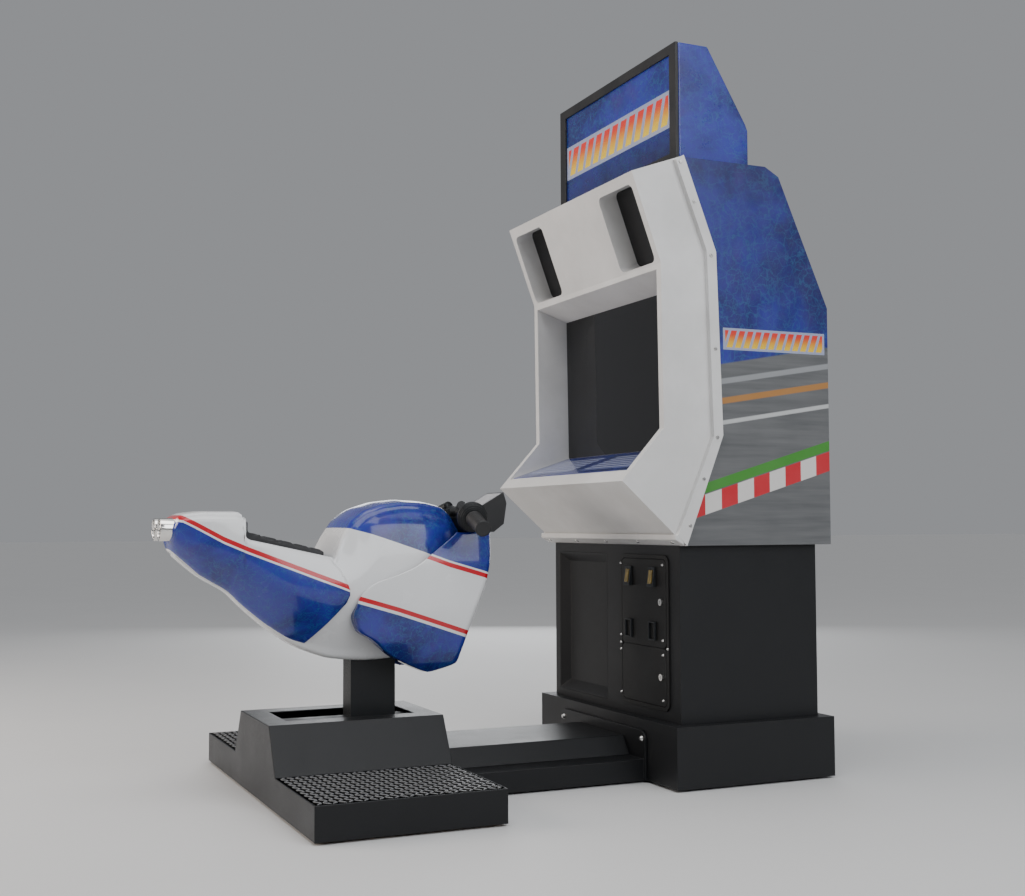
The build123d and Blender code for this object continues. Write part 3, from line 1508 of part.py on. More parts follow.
dash_face_foot = (300, 790)
dash_face_top = (397, 846)
dash_outline = bike(
    [
        (300, FAIRING_TOP),
        dash_face_foot,
        dash_face_top,
        (407, 813),
        (398, 752),
        (366, FAIRING_TOP),
    ]
)
face_run = dash_face_top[0] - dash_face_foot[0]
face_rise = dash_face_top[1] - dash_face_foot[1]
face_length = (face_run**2 + face_rise**2) ** 0.5
dash_plane = Plane(
    origin=(0, column_y + dash_face_foot[0], dash_face_foot[1]),
    x_dir=(1, 0, 0),
    z_dir=(0, -face_rise / face_length, face_run / face_length),
)
dash_recess = 60
dash_wall = 4
dash_border = 6
button_along = 20
button_radius_gap = RUNNING
tray_thickness = 6
tray_right = [(160, clamp_rear), (156, clamp_front), (138, column_y + 312), (88, column_y + 336)]
with BuildPart() as dash_housing:
    side_slab(dash_outline, -DASH_WIDTH / 2, DASH_WIDTH / 2)
    tray_left = [(-x, y) for x, y in reversed(tray_right)]
    slab(Plane.XY.offset(FAIRING_TOP - tray_thickness), tray_right + tray_left, tray_thickness)
    with BuildSketch(dash_plane) as dash_well:
        with Locations((0, face_length / 2)):
            Rectangle(DASH_WIDTH - 2 * dash_border, face_length - 2 * dash_border)
    extrude(dash_well.sketch, amount=-25, mode=Mode.SUBTRACT)
keep(dash_housing.part, "dash_housing")

with BuildPart() as dash_panel:
    with BuildSketch(dash_plane):
        with Locations((0, face_length / 2)):
            Rectangle(DASH_WIDTH - 2 * dash_border, face_length - 2 * dash_border)
        with Locations((0, dash_border + button_along)):
            Circle(BUTTON_RADIUS + button_radius_gap, mode=Mode.SUBTRACT)
    extrude(amount=-DASH_PANEL_THICKNESS)
keep(dash_panel.part, "dash_panel")

with BuildPart() as start_button:
    with BuildSketch(dash_plane.offset(-15)):
        with Locations((0, dash_border + button_along)):
            Circle(BUTTON_RADIUS)
    extrude(amount=15 + BUTTON_PROUD)
keep(start_button.part, "start_button")
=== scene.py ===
"""Looks of the sit-on motorbike racing cabinet, built around its CAD frame.

Metres, in the CAD's frame: +X is the rider's right, +Y runs from the exhaust to the screen, +Z is up.
The bike's outlines are in millimetres: a station is the distance from its column along +Y.
"""

import json
import math

import bmesh
import bpy
import numpy as np
from mathutils import Matrix, Vector


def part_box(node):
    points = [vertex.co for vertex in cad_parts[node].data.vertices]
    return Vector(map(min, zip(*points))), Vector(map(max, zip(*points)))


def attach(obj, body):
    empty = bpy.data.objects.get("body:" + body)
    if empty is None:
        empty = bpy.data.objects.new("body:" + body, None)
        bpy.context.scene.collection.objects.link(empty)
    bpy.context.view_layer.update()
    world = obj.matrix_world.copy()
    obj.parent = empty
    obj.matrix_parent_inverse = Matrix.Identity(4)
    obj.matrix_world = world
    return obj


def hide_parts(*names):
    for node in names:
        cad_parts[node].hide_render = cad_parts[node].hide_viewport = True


MM = 0.001

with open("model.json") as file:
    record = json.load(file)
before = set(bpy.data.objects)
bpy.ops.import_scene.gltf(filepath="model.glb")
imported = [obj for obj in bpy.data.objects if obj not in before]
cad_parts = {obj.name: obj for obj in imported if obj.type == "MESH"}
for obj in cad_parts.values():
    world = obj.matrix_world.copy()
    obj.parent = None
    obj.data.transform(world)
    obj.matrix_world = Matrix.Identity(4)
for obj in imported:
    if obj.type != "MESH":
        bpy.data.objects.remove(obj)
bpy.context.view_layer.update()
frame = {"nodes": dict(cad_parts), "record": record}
nodes = frame["nodes"]
scene = bpy.context.scene

# ------------ places taken from the frame

column_low, column_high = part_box("pivot_shaft")
COLUMN_Y = (column_low.y + column_high.y) / 2  # the bike's stations are measured from here
PLINTH_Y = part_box("tower_plinth")[0].y  # the tower's outlines are measured from here
SEAT_LOW, SEAT_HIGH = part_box("seat_pad")
TREAD_LOW, TREAD_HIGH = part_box("tread_plates")
BEZEL_LOW, BEZEL_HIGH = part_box("bezel_shroud")
MARQUEE_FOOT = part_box("marquee_panel")[0].z
SIDE_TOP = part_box("right_side_panel")[1].z
SHELF_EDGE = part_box("shelf_panel")[0].y


# ------------ a small builder for node materials


class Paint:
    """One procedural material. Places in it are object coordinates, which are the row frame's metres."""

    def __init__(self, name, roughness=0.5, metallic=0.0, coat=0.0, coat_roughness=0.03, specular=0.5):
        self.material = bpy.data.materials.new(name)
        self.material.use_nodes = True
        self.tree = self.material.node_tree
        self.shader = self.tree.nodes["Principled BSDF"]
        self.set("Roughness", roughness)
        self.set("Metallic", metallic)
        self.set("Coat Weight", coat)
        self.set("Coat Roughness", coat_roughness)
        self.set("Specular IOR Level", specular)
        where = self.tree.nodes.new("ShaderNodeTexCoord")
        self.place = where.outputs["Object"]
        split = self.tree.nodes.new("ShaderNodeSeparateXYZ")
        self.join(self.place, split.inputs[0])
        self.x, self.y, self.z = split.outputs

    def join(self, value, socket):
        if isinstance(value, bpy.types.NodeSocket):
            self.tree.links.new(value, socket)
        elif isinstance(value, tuple) and len(value) == 3 and socket.type == "RGBA":
            socket.default_value = (*value, 1)
        else:
            socket.default_value = value

    def set(self, name, value):
        self.join(value, self.shader.inputs[name])

    def math(self, operation, *values, clamp=False):
        node = self.tree.nodes.new("ShaderNodeMath")
        node.operation = operation
        node.use_clamp = clamp
        for value, socket in zip(values, node.inputs):
            self.join(value, socket)
        return node.outputs[0]

    def mix(self, share, first, second):
        node = self.tree.nodes.new("ShaderNodeMix")
        node.data_type = "RGBA"
        self.join(share, node.inputs[0])
        self.join(first, node.inputs[6])
        self.join(second, node.inputs[7])
        return node.outputs[2]

    def moved(self, scale):
        """The places stretched by a scale along each axis."""
        node = self.tree.nodes.new("ShaderNodeMapping")
        self.join(self.place, node.inputs["Vector"])
        node.inputs["Scale"].default_value = scale
        return node.outputs[0]

    def noise(self, scale, detail=3.0, roughness=0.5, place=None, warp=0.0, colour=False):
        node = self.tree.nodes.new("ShaderNodeTexNoise")
        self.join(place or self.place, node.inputs["Vector"])
        self.join(float(scale), node.inputs["Scale"])
        self.join(float(detail), node.inputs["Detail"])
        self.join(roughness, node.inputs["Roughness"])
        self.join(warp, node.inputs["Distortion"])
        return node.outputs["Color" if colour else "Fac"]

    def cracks(self, scale, place=None):
        node = self.tree.nodes.new("ShaderNodeTexVoronoi")
        node.feature = "DISTANCE_TO_EDGE"
        self.join(place or self.place, node.inputs["Vector"])
        self.join(float(scale), node.inputs["Scale"])
        return node.outputs["Distance"]

    def ease(self, value, low, high, to_low=0.0, to_high=1.0):
        """Smooth step of a value from low to high."""
        node = self.tree.nodes.new("ShaderNodeMapRange")
        node.interpolation_type = "SMOOTHSTEP"
        for item, socket in zip((value, low, high, to_low, to_high), node.inputs):
            self.join(item, socket)
        return node.outputs[0]

    def line(self, value, points):
        """Straight-line interpolation through (input, output) points in metres."""
        first, last = points[0][0], points[-1][0]
        low = min(p[1] for p in points)
        high = max(p[1] for p in points) + 1e-6
        share = self.math("DIVIDE", self.math("SUBTRACT", value, first), last - first, clamp=True)
        node = self.tree.nodes.new("ShaderNodeValToRGB")
        stops = node.color_ramp.elements
        for index, (at, out) in enumerate(points):
            position = (at - first) / (last - first)
            if index in (0, len(points) - 1):
                stop = stops[0 if index == 0 else -1]
                stop.position = position
            else:
                stop = stops.new(position)
            level = (out - low) / (high - low)
            stop.color = (level, level, level, 1)
        self.join(share, node.inputs[0])
        return self.math("MULTIPLY_ADD", node.outputs[0], high - low, low)

    def above(self, value, limit, soft=0.0006):
        """1 where a value is over a limit, with an edge as soft as a printed one."""
        return self.ease(self.math("SUBTRACT", value, limit), -soft, soft)

    def both(self, *masks):
        result = masks[0]
        for mask in masks[1:]:
            result = self.math("MULTIPLY", result, mask)
        return result

    def between(self, value, low, high, soft=0.0006):
        return self.both(self.above(value, low, soft), self.above(high, value, soft))

    def bump(self, height, depth, strength):
        """Raises the surface by a pattern; depth is in metres."""
        node = self.tree.nodes.new("ShaderNodeBump")
        self.join(height, node.inputs["Height"])
        node.inputs["Distance"].default_value = depth
        node.inputs["Strength"].default_value = strength
        self.set("Normal", node.outputs[0])

    def wear(self, low, high, scale=14.0):
        """Roughness that drifts between two values, as on handled surfaces."""
        self.set("Roughness", self.ease(self.noise(scale, 4, 0.6), 0.35, 0.65, low, high))

    def marble(self, scale=1.0):
        """Royal blue with violet clouds and thin teal veins."""
        deep, bright = (0.007, 0.009, 0.115), (0.019, 0.025, 0.29)
        violet_tone, vein_tone = (0.040, 0.018, 0.20), (0.018, 0.115, 0.25)
        warped = self.tree.nodes.new("ShaderNodeMix")
        warped.data_type = "VECTOR"
        warped.inputs[0].default_value = 0.055
        self.join(self.place, warped.inputs[4])
        self.join(self.noise(30 * scale, 3, 0.6, colour=True), warped.inputs[5])
        crack = self.cracks(38 * scale, warped.outputs[1])
        fine = self.cracks(75 * scale, warped.outputs[1])
        fade = self.ease(self.noise(6 * scale, 2), 0.25, 0.55, 0.35, 1.0)
        vein = self.ease(crack, 0.0, 0.06, 1.0, 0.0)
        hair = self.math("MULTIPLY", self.ease(fine, 0.0, 0.07, 1.0, 0.0), 0.5)
        veins = self.math("MULTIPLY", self.math("MAXIMUM", vein, hair), fade, clamp=True)
        cloud = self.ease(self.noise(5 * scale, 4, 0.6, warp=0.6), 0.34, 0.66)
        base = self.mix(cloud, deep, bright)
        violet = self.ease(self.noise(11 * scale, 3, 0.55), 0.55, 0.75)
        base = self.mix(self.math("MULTIPLY", violet, 0.55), base, violet_tone)
        return self.mix(self.math("MULTIPLY", veins, 0.62), base, vein_tone)


# ------------ materials


def shade(tone, share):
    """A tone made darker or lighter."""
    return tuple(c * share for c in tone)


def make_charcoal(name, tone, grain, low, high):
    """Dark cabinet finish: fine pebbled texture with faint dust and scuffs."""
    paint = Paint(name, specular=0.28)
    dust = paint.ease(paint.noise(4, 5, 0.7), 0.5, 0.85)
    fleck = paint.ease(paint.noise(900, 1, 0.5), 0.4, 0.75)
    colour = paint.mix(dust, tone, shade(tone, 1.25))
    colour = paint.mix(paint.math("MULTIPLY", fleck, 0.5), colour, shade(tone, 2.0))
    paint.set("Base Color", colour)
    paint.set("Roughness", paint.ease(paint.noise(3, 6, 0.75), 0.2, 0.8, low, high))
    paint.bump(paint.noise(grain, 2, 0.6), 0.0006, 0.6)
    return paint.material


def make_steel(name, tone, low, high, scale=(40, 40, 900)):
    """Brushed or plated metal with drawn streaks."""
    paint = Paint(name, metallic=1.0)
    streak = paint.noise(1.0, 3, 0.6, place=paint.moved(scale))
    paint.set("Base Color", paint.mix(streak, shade(tone, 0.82), tone))
    paint.set("Roughness", paint.ease(streak, 0.3, 0.7, low, high))
    paint.bump(streak, 0.00005, 0.4)
    return paint.material


def make_plastic(name, tone, low, high, grain=700, depth=0.00015):
    """Moulded plastic with a light grain."""
    paint = Paint(name)
    drift = paint.noise(8, 4, 0.6)
    paint.set("Base Color", paint.mix(drift, shade(tone, 0.8), shade(tone, 1.2)))
    paint.set("Roughness", paint.ease(drift, 0.35, 0.65, low, high))
    paint.bump(paint.noise(grain, 2, 0.6), depth, 0.5)
    return paint.material


charcoal_laminate = make_charcoal("charcoal_laminate", (0.0105, 0.011, 0.012), 1100, 0.36, 0.5)
charcoal_paint = make_charcoal("charcoal_paint", (0.0075, 0.008, 0.009), 800, 0.3, 0.42)
coin_door_paint = make_charcoal("coin_door_paint", (0.0105, 0.010, 0.0095), 1500, 0.4, 0.52)
dark_steel = make_charcoal("dark_steel", (0.011, 0.012, 0.013), 1300, 0.32, 0.45)
trim_plastic = make_charcoal("trim_plastic", (0.016, 0.018, 0.020), 1300, 0.28, 0.4)
bright_steel = make_steel("bright_steel", (0.72, 0.71, 0.69), 0.16, 0.3)
zinc_steel = make_steel("zinc_steel", (0.55, 0.56, 0.58), 0.3, 0.5, (300, 20, 20))
chrome = make_steel("chrome", (0.86, 0.84, 0.81), 0.03, 0.1, (60, 12, 60))
dark_plastic = make_plastic("dark_plastic", (0.009, 0.009, 0.010), 0.34, 0.5)
black_gloss = make_plastic("black_gloss", (0.006, 0.006, 0.007), 0.14, 0.26, 300, 0.00005)
black_rubber = make_plastic("black_rubber", (0.012, 0.012, 0.013), 0.5, 0.68, 900, 0.0003)
plain_board = make_plastic("plain_board", (0.24, 0.17, 0.10), 0.6, 0.8, 400, 0.0003)
cast_steel = make_steel("cast_steel", (0.2, 0.2, 0.2), 0.5, 0.7, (500, 500, 500))


def make_lens(name, tone, glow):
    """Tinted moulded lens with a soft inner light."""
    paint = Paint(name, roughness=0.18, coat=0.6)
    band = paint.ease(paint.noise(60, 2, 0.5), 0.35, 0.7)
    colour = paint.mix(band, shade(tone, 0.55), tone)
    paint.set("Base Color", colour)
    paint.set("Emission Color", colour)
    paint.set("Emission Strength", glow)
    paint.bump(paint.noise(300, 1, 0.5), 0.0002, 0.4)
    return paint.material


amber_lens = make_lens("amber_lens", (0.34, 0.23, 0.04), 0.02)
start_lens = make_lens("start_lens", (0.62, 0.03, 0.02), 0.1)
lamp_white = make_lens("lamp_white", (0.85, 0.86, 0.84), 0.6)


def make_bezel():
    """Off-white textured moulding, a little greyer where dust settles."""
    paint = Paint("pale_moulding")
    drift = paint.ease(paint.noise(3.2, 5, 0.6), 0.35, 0.7)
    speck = paint.ease(paint.noise(520, 2, 0.7), 0.62, 0.78)
    colour = paint.mix(drift, (0.60, 0.595, 0.585), (0.70, 0.695, 0.69))
    colour = paint.mix(paint.math("MULTIPLY", speck, 0.3), colour, (0.34, 0.33, 0.32))
    paint.set("Base Color", colour)
    paint.wear(0.42, 0.56, 10)
    paint.bump(paint.noise(650, 3, 0.65), 0.0005, 0.55)
    return paint.material


def make_blue_print():
    """Glossy printed marble with its print's slight unevenness."""
    paint = Paint("blue_print", roughness=0.3, coat=0.35, coat_roughness=0.12)
    paint.set("Base Color", paint.marble())
    paint.wear(0.26, 0.4)
    paint.bump(paint.noise(240, 2, 0.5), 0.0001, 0.3)
    return paint.material


BANNER_STROKES = 12
BANNER_SLANT = 0.35
BANNER_BORDER = 0.14  # share of the banner's height


def print_banner(paint, colour, along, up, length, height, foot_tone, top_tone):
    """A plain speed banner over a colour: slanted strokes on a pale strip."""
    lean = paint.math("MULTIPLY_ADD", up, -BANNER_SLANT, along)
    cell = paint.math("FRACT", paint.math("DIVIDE", lean, length / BANNER_STROKES))
    border = height * BANNER_BORDER
    strip = paint.both(paint.between(along, -border, length + border), paint.between(up, -border, height + border))
    inside = paint.both(paint.between(along, 0.0, length), paint.between(up, 0.0, height))
    strokes = paint.both(paint.between(cell, 0.16, 0.84, 0.01), inside)
    heat = paint.ease(up, 0.0, height * 0.9)
    colour = paint.mix(strip, colour, (0.30, 0.33, 0.46))
    return paint.mix(strokes, colour, paint.mix(heat, foot_tone, top_tone))


# The road's picture on the tower: heights above the floor at the plinth's front, and rise per metre behind it.
ROAD_RISE = 0.16
ROAD_LINES = (
    (1.126, 1.142, (0.26, 0.27, 0.28)),
    (1.068, 1.086, (0.36, 0.17, 0.05)),
    (1.008, 1.020, (0.46, 0.47, 0.47)),
)
KERB_RISE = 0.30
KERB_FOOT, KERB_TOP = 0.742, 0.800
GRASS_FOOT, GRASS_TOP = 0.803, 0.832
KERB_BLOCKS = 9.0  # pairs of blocks per metre
HORIZON, HORIZON_RISE = 1.182, 0.176
SIDE_BANNER_START, SIDE_BANNER_FOOT = 0.185, 1.262
SIDE_BANNER_LENGTH, SIDE_BANNER_HEIGHT = 0.345, 0.050


def make_side_art():
    """Tower side: marble above, an abstract road with kerbs below, and a plain speed banner between."""
    paint = Paint("side_art", roughness=0.34, coat=0.25, coat_roughness=0.15)
    along = paint.math("SUBTRACT", paint.y, PLINTH_Y)
    dark = paint.ease(paint.z, SIDE_TOP - 0.72, SIDE_TOP - 0.05)
    marble = paint.mix(paint.math("MULTIPLY", dark, 0.35), paint.marble(0.8), (0.004, 0.006, 0.03))

    streak = paint.noise(1.0, 4, 0.6, place=paint.moved((1, 3, 60)))
    road = paint.mix(streak, (0.06, 0.064, 0.068), (0.17, 0.173, 0.176))
    slope = paint.math("MULTIPLY_ADD", along, -ROAD_RISE, paint.z)
    for foot, top, tone in ROAD_LINES:
        road = paint.mix(paint.between(slope, foot, top, 0.002), road, tone)
    kerb_slope = paint.math("MULTIPLY_ADD", along, -KERB_RISE, paint.z)
    block = paint.above(paint.math("FRACT", paint.math("MULTIPLY", along, KERB_BLOCKS)), 0.5, 0.01)
    blocks = paint.mix(block, (0.62, 0.60, 0.58), (0.50, 0.02, 0.03))
    road = paint.mix(paint.between(kerb_slope, KERB_FOOT, KERB_TOP, 0.001), road, blocks)
    road = paint.mix(paint.between(kerb_slope, GRASS_FOOT, GRASS_TOP, 0.001), road, (0.05, 0.23, 0.03))

    horizon = paint.math("MULTIPLY_ADD", along, HORIZON_RISE, HORIZON)
    colour = paint.mix(paint.above(horizon, paint.z, 0.003), marble, road)
    start = paint.math("SUBTRACT", along, SIDE_BANNER_START)
    up = paint.math("SUBTRACT", paint.z, SIDE_BANNER_FOOT)
    size = (SIDE_BANNER_LENGTH, SIDE_BANNER_HEIGHT)
    colour = print_banner(paint, colour, start, up, *size, (0.75, 0.50, 0.02), (0.62, 0.03, 0.02))
    paint.set("Base Color", colour)
    paint.wear(0.3, 0.44)
    paint.bump(paint.noise(300, 2, 0.5), 0.0001, 0.3)
    return paint.material


MARQUEE_BANNER_LENGTH, MARQUEE_BANNER_HEIGHT = 0.66, 0.088
MARQUEE_BANNER_FOOT = 1.932


def make_marquee_art():
    """Back-lit marquee: marble, darker towards its foot, with a broad plain speed banner."""
    paint = Paint("marquee_art", roughness=0.25, coat=0.3, coat_roughness=0.08)
    dark = paint.ease(paint.z, MARQUEE_FOOT - 0.02, MARQUEE_FOOT + 0.22, 0.7, 0.0)
    colour = paint.mix(dark, paint.marble(0.9), (0.004, 0.005, 0.03))
    along = paint.math("ADD", paint.x, MARQUEE_BANNER_LENGTH / 2)
    up = paint.math("SUBTRACT", paint.z, MARQUEE_BANNER_FOOT)
    size = (MARQUEE_BANNER_LENGTH, MARQUEE_BANNER_HEIGHT)
    colour = print_banner(paint, colour, along, up, *size, (0.78, 0.55, 0.03), (0.66, 0.03, 0.02))
    paint.set("Base Color", colour)
    paint.set("Emission Color", colour)
    paint.set("Emission Strength", 0.05)
    paint.wear(0.18, 0.3)
    paint.bump(paint.noise(200, 2, 0.5), 0.00008, 0.3)
    return paint.material


SHELF_CARDS = 2.6  # printed cards per metre across
SHELF_STRIPES = 46.0  # stripes per metre of depth


def make_shelf_art():
    """Printed control shelf under the screen: marble with two pale striped cards."""
    paint = Paint("shelf_art", roughness=0.22, coat=0.5, coat_roughness=0.06)
    depth = paint.math("SUBTRACT", paint.y, SHELF_EDGE)
    columns = paint.math("FRACT", paint.math("MULTIPLY", paint.x, SHELF_CARDS))
    cards = paint.both(paint.between(columns, 0.1, 0.9, 0.01), paint.between(depth, 0.03, 0.165))
    stripe = paint.above(paint.math("FRACT", paint.math("MULTIPLY", depth, SHELF_STRIPES)), 0.5, 0.05)
    stripes = paint.mix(stripe, (0.42, 0.46, 0.58), (0.10, 0.13, 0.42))
    paint.set("Base Color", paint.mix(cards, paint.marble(1.2), stripes))
    paint.bump(paint.noise(260, 2, 0.5), 0.00008, 0.3)
    return paint.material


def make_glass(name, tone, through, roughness):
    """Smoked pane or picture tube face."""
    paint = Paint(name, specular=0.35)
    smear = paint.noise(5, 4, 0.6)
    paint.set("Base Color", paint.mix(smear, tone, shade(tone, 1.2)))
    paint.set("Roughness", paint.ease(smear, 0.35, 0.7, roughness, roughness * 1.8))
    paint.set("Transmission Weight", through)
    return paint.material


pale_moulding = make_bezel()
blue_print = make_blue_print()
side_art = make_side_art()
marquee_art = make_marquee_art()
shelf_art = make_shelf_art()
smoked_glass = make_glass("smoked_glass", (0.05, 0.05, 0.055), 0.9, 0.012)
tube_glass = make_glass("tube_glass", (0.006, 0.0065, 0.007), 0.0, 0.05)

WHITE_GEL = ((0.68, 0.685, 0.69), (0.76, 0.765, 0.77))
RED_GEL = (0.52, 0.008, 0.018)


def gel_base(name):
    """Glossy gelcoat with a clear coat and faint orange peel, and its drifting white."""
    paint = Paint(name, coat=0.45, coat_roughness=0.03, specular=0.4)
    paint.set("Roughness", paint.ease(paint.noise(9, 3, 0.6), 0.35, 0.65, 0.16, 0.28))
    paint.bump(paint.noise(55, 2, 0.5), 0.0004, 0.12)
    return paint, paint.mix(paint.noise(4, 3, 0.6), *WHITE_GEL)


def station(paint):
    """Distance from the column along the bike, in metres."""
    return paint.math("SUBTRACT", paint.y, COLUMN_Y)


def bike_line(paint, points):
    """Height of a printed edge that runs along the bike, from (station, height) points."""
    return paint.line(station(paint), [(s * MM, z * MM) for s, z in points])


# Middle lines of the red stripes, edges of the marble and the tail cover's foot: (station, height) in mm.
TAIL_RED = [(-583, 777), (-548, 771), (-521, 757), (-481, 735), (-444, 714), (-381, 686), (-318, 661)]
TAIL_RED += [(-254, 636), (-190, 611), (-134, 590), (-90, 572)]
FAIRING_LOWER_RED = [(-92, 552), (31, 515), (149, 475), (240, 444), (300, 424)]
FAIRING_UPPER_RED = [(100, 666), (180, 637), (293, 604), (340, 590)]
TANK_CAP_EDGE = [(-150, 758), (-121, 745), (-94, 741), (-37, 725), (34, 701), (119, 672), (200, 640)]
TAIL_FOOT_LINE = [(-590, 694), (-573, 684), (-492, 614), (-417, 569), (-375, 529), (-320, 482), (-287, 458)]
TAIL_FOOT_LINE += [(-250, 434), (-205, 420)]
TANK_REAR = -150
STRIPE_HALF = 6.5
TAIL_WHITE_LINE = 12.5  # from a stripe's middle to the marble
FAIRING_LOWER_WHITE = 15
FAIRING_UPPER_WHITE = 12
BELLY_WHITE = 3  # white edge above the tail cover's foot


def red_stripe(paint, colour, offset):
    """The red stripe over a colour, where the height from its middle line is small."""
    return paint.mix(paint.between(offset, -STRIPE_HALF * MM, STRIPE_HALF * MM), colour, RED_GEL)


def make_tail_paint():
    """White above the red stripe and at the foot, marble between."""
    paint, white = gel_base("tail_paint")
    offset = paint.math("SUBTRACT", paint.z, bike_line(paint, TAIL_RED))
    belly = bike_line(paint, [(s, z + BELLY_WHITE) for s, z in TAIL_FOOT_LINE])
    blue = paint.both(paint.above(-TAIL_WHITE_LINE * MM, offset), paint.above(paint.z, belly))
    colour = paint.mix(blue, white, paint.marble(1.1))
    paint.set("Base Color", red_stripe(paint, colour, offset))
    return paint.material


def make_body_paint():
    """White, with a marble cap on the tank."""
    paint, white = gel_base("body_paint")
    cap = paint.above(paint.z, bike_line(paint, TANK_CAP_EDGE))
    tank = paint.above(station(paint), TANK_REAR * MM)
    paint.set("Base Color", paint.mix(paint.both(cap, tank), white, paint.marble(1.1)))
    return paint.material


def make_fairing_paint():
    """White between two red stripes, marble below and above them."""
    paint, white = gel_base("fairing_paint")
    lower = paint.math("SUBTRACT", paint.z, bike_line(paint, FAIRING_LOWER_RED))
    upper = paint.math("SUBTRACT", paint.z, bike_line(paint, FAIRING_UPPER_RED))
    marble = paint.marble(1.1)
    colour = paint.mix(paint.above(-FAIRING_LOWER_WHITE * MM, lower), white, marble)
    colour = paint.mix(paint.above(upper, FAIRING_UPPER_WHITE * MM), colour, marble)
    colour = red_stripe(paint, colour, lower)
    paint.set("Base Color", red_stripe(paint, colour, upper))
    return paint.material


def make_vinyl():
    """Black seat vinyl with a fine leather grain."""
    paint = Paint("black_vinyl", specular=0.4)
    grain = paint.cracks(420)
    paint.set("Base Color", paint.mix(paint.noise(12, 4, 0.6), (0.013, 0.013, 0.014), (0.024, 0.024, 0.026)))
    paint.set("Roughness", paint.ease(grain, 0.0, 0.3, 0.6, 0.4))
    paint.bump(grain, 0.0004, 0.6)
    return paint.material


def make_dash_print():
    """Pale printed dash with a thin dark line near each side."""
    paint = Paint("dash_print", roughness=0.15, coat=0.8)
    colour = paint.mix(paint.noise(30, 4, 0.6), (0.50, 0.50, 0.53), (0.62, 0.61, 0.63))
    border = paint.between(paint.math("ABSOLUTE", paint.x), 0.047, 0.049)
    paint.set("Base Color", paint.mix(border, colour, (0.05, 0.07, 0.12)))
    paint.bump(paint.noise(200, 2, 0.5), 0.00005, 0.3)
    return paint.material


def make_floor():
    """Pale studio floor with a trace of mottling."""
    paint = Paint("studio_floor", roughness=0.6)
    paint.set("Base Color", paint.mix(paint.noise(1.2, 4, 0.6), (0.58, 0.58, 0.58), (0.62, 0.62, 0.615)))
    paint.bump(paint.noise(40, 3, 0.6), 0.0005, 0.15)
    return paint.material


tail_paint = make_tail_paint()
body_paint = make_body_paint()
fairing_paint = make_fairing_paint()
black_vinyl = make_vinyl()
dash_print = make_dash_print()

# ------------ CAD nodes that stay: finish and softened edges

FINISHES = (
    (charcoal_laminate, "tower_plinth lower_cabinet access_panel upper_carcass"),
    (charcoal_paint, "platform_shell beam_channel beam_cover"),
    (coin_door_paint, "coin_door_frame upper_coin_door cash_door service_door left_return_flap right_return_flap"),
    (dark_steel, "lean_column"),
    (cast_steel, "pivot_bearings"),
    (zinc_steel, "cash_box electronics_tray monitor_chassis coin_mechanisms"),
    (bright_steel, "cabinet_screws upper_door_screws cash_door_screws pivot_shaft"),
    (bright_steel, "upper_door_lock cash_door_lock service_door_lock"),
    (chrome, "exhausts"),
    (black_rubber, "levelling_feet bump_stops"),
    (plain_board, "platform_base"),
    (dark_plastic, "mains_inlet speakers screen_mask marquee_frame slot_cover dash_housing"),
    (black_gloss, "speaker_grilles"),
    (trim_plastic, "coin_entry_trim"),
    (amber_lens, "left_reject_button right_reject_button"),
    (start_lens, "start_button"),
    (lamp_white, "marquee_lamp"),
    (pale_moulding, "bezel_shroud"),
    (side_art, "left_side_panel right_side_panel"),
    (blue_print, "marquee_housing"),
    (marquee_art, "marquee_panel"),
    (shelf_art, "shelf_panel"),
    (dash_print, "dash_panel"),
    (smoked_glass, "screen_glass"),
    (tube_glass, "monitor_tube"),
)

# Edge radius in millimetres, and the nodes whose corners are seen close up.
EDGE_RADII = (
    (5.0, "marquee_housing"),
    (3.0, "platform_shell"),
    (2.5, "beam_cover tower_plinth lower_cabinet lean_column"),
    (2.0, "beam_channel upper_carcass"),
    (1.8, "bezel_shroud"),
    (1.5, "left_side_panel right_side_panel"),
    (1.2, "access_panel marquee_frame exhausts"),
    (1.0, "coin_door_frame service_door dash_housing coin_entry_trim left_reject_button right_reject_button"),
    (0.8, "upper_coin_door cash_door screen_mask"),
)


def soften(obj, radius):
    """Welds the mesh, clears flat edges and rounds the sharp ones."""
    weld = obj.modifiers.new("weld", "WELD")
    weld.merge_threshold = 0.00002
    flat = obj.modifiers.new("flat", "DECIMATE")
    flat.decimate_type = "DISSOLVE"
    flat.angle_limit = math.radians(0.5)
    bevel = obj.modifiers.new("bevel", "BEVEL")
    bevel.width = radius
    bevel.segments = 3
    bevel.limit_method = "ANGLE"
    bevel.angle_limit = math.radians(28)
    bevel.harden_normals = True


for material, names in FINISHES:
    for name in names.split():
        nodes[name].data.materials.clear()
        nodes[name].data.materials.append(material)
for radius, names in EDGE_RADII:
    for name in names.split():
        soften(nodes[name], radius * MM)

# ------------ mesh helpers


def new_object(name, vertices, faces, material):
    """A smooth-shaded object from points and faces."""
    mesh = bpy.data.meshes.new(name)
    mesh.from_pydata([tuple(v) for v in vertices], [], [tuple(f) for f in faces])
    mesh.validate()
    mesh.update()
    made = bpy.data.objects.new(name, mesh)
    scene.collection.objects.link(made)
    mesh.materials.append(material)
    for polygon in mesh.polygons:
        polygon.use_smooth = True
    return made


def face_outwards(obj):
    """Points every face of a mesh outwards."""
    edit = bmesh.new()
    edit.from_mesh(obj.data)
    bmesh.ops.remove_doubles(edit, verts=edit.verts, dist=1e-6)
    bmesh.ops.recalc_face_normals(edit, faces=edit.faces)
    edit.to_mesh(obj.data)
    edit.free()
    return obj


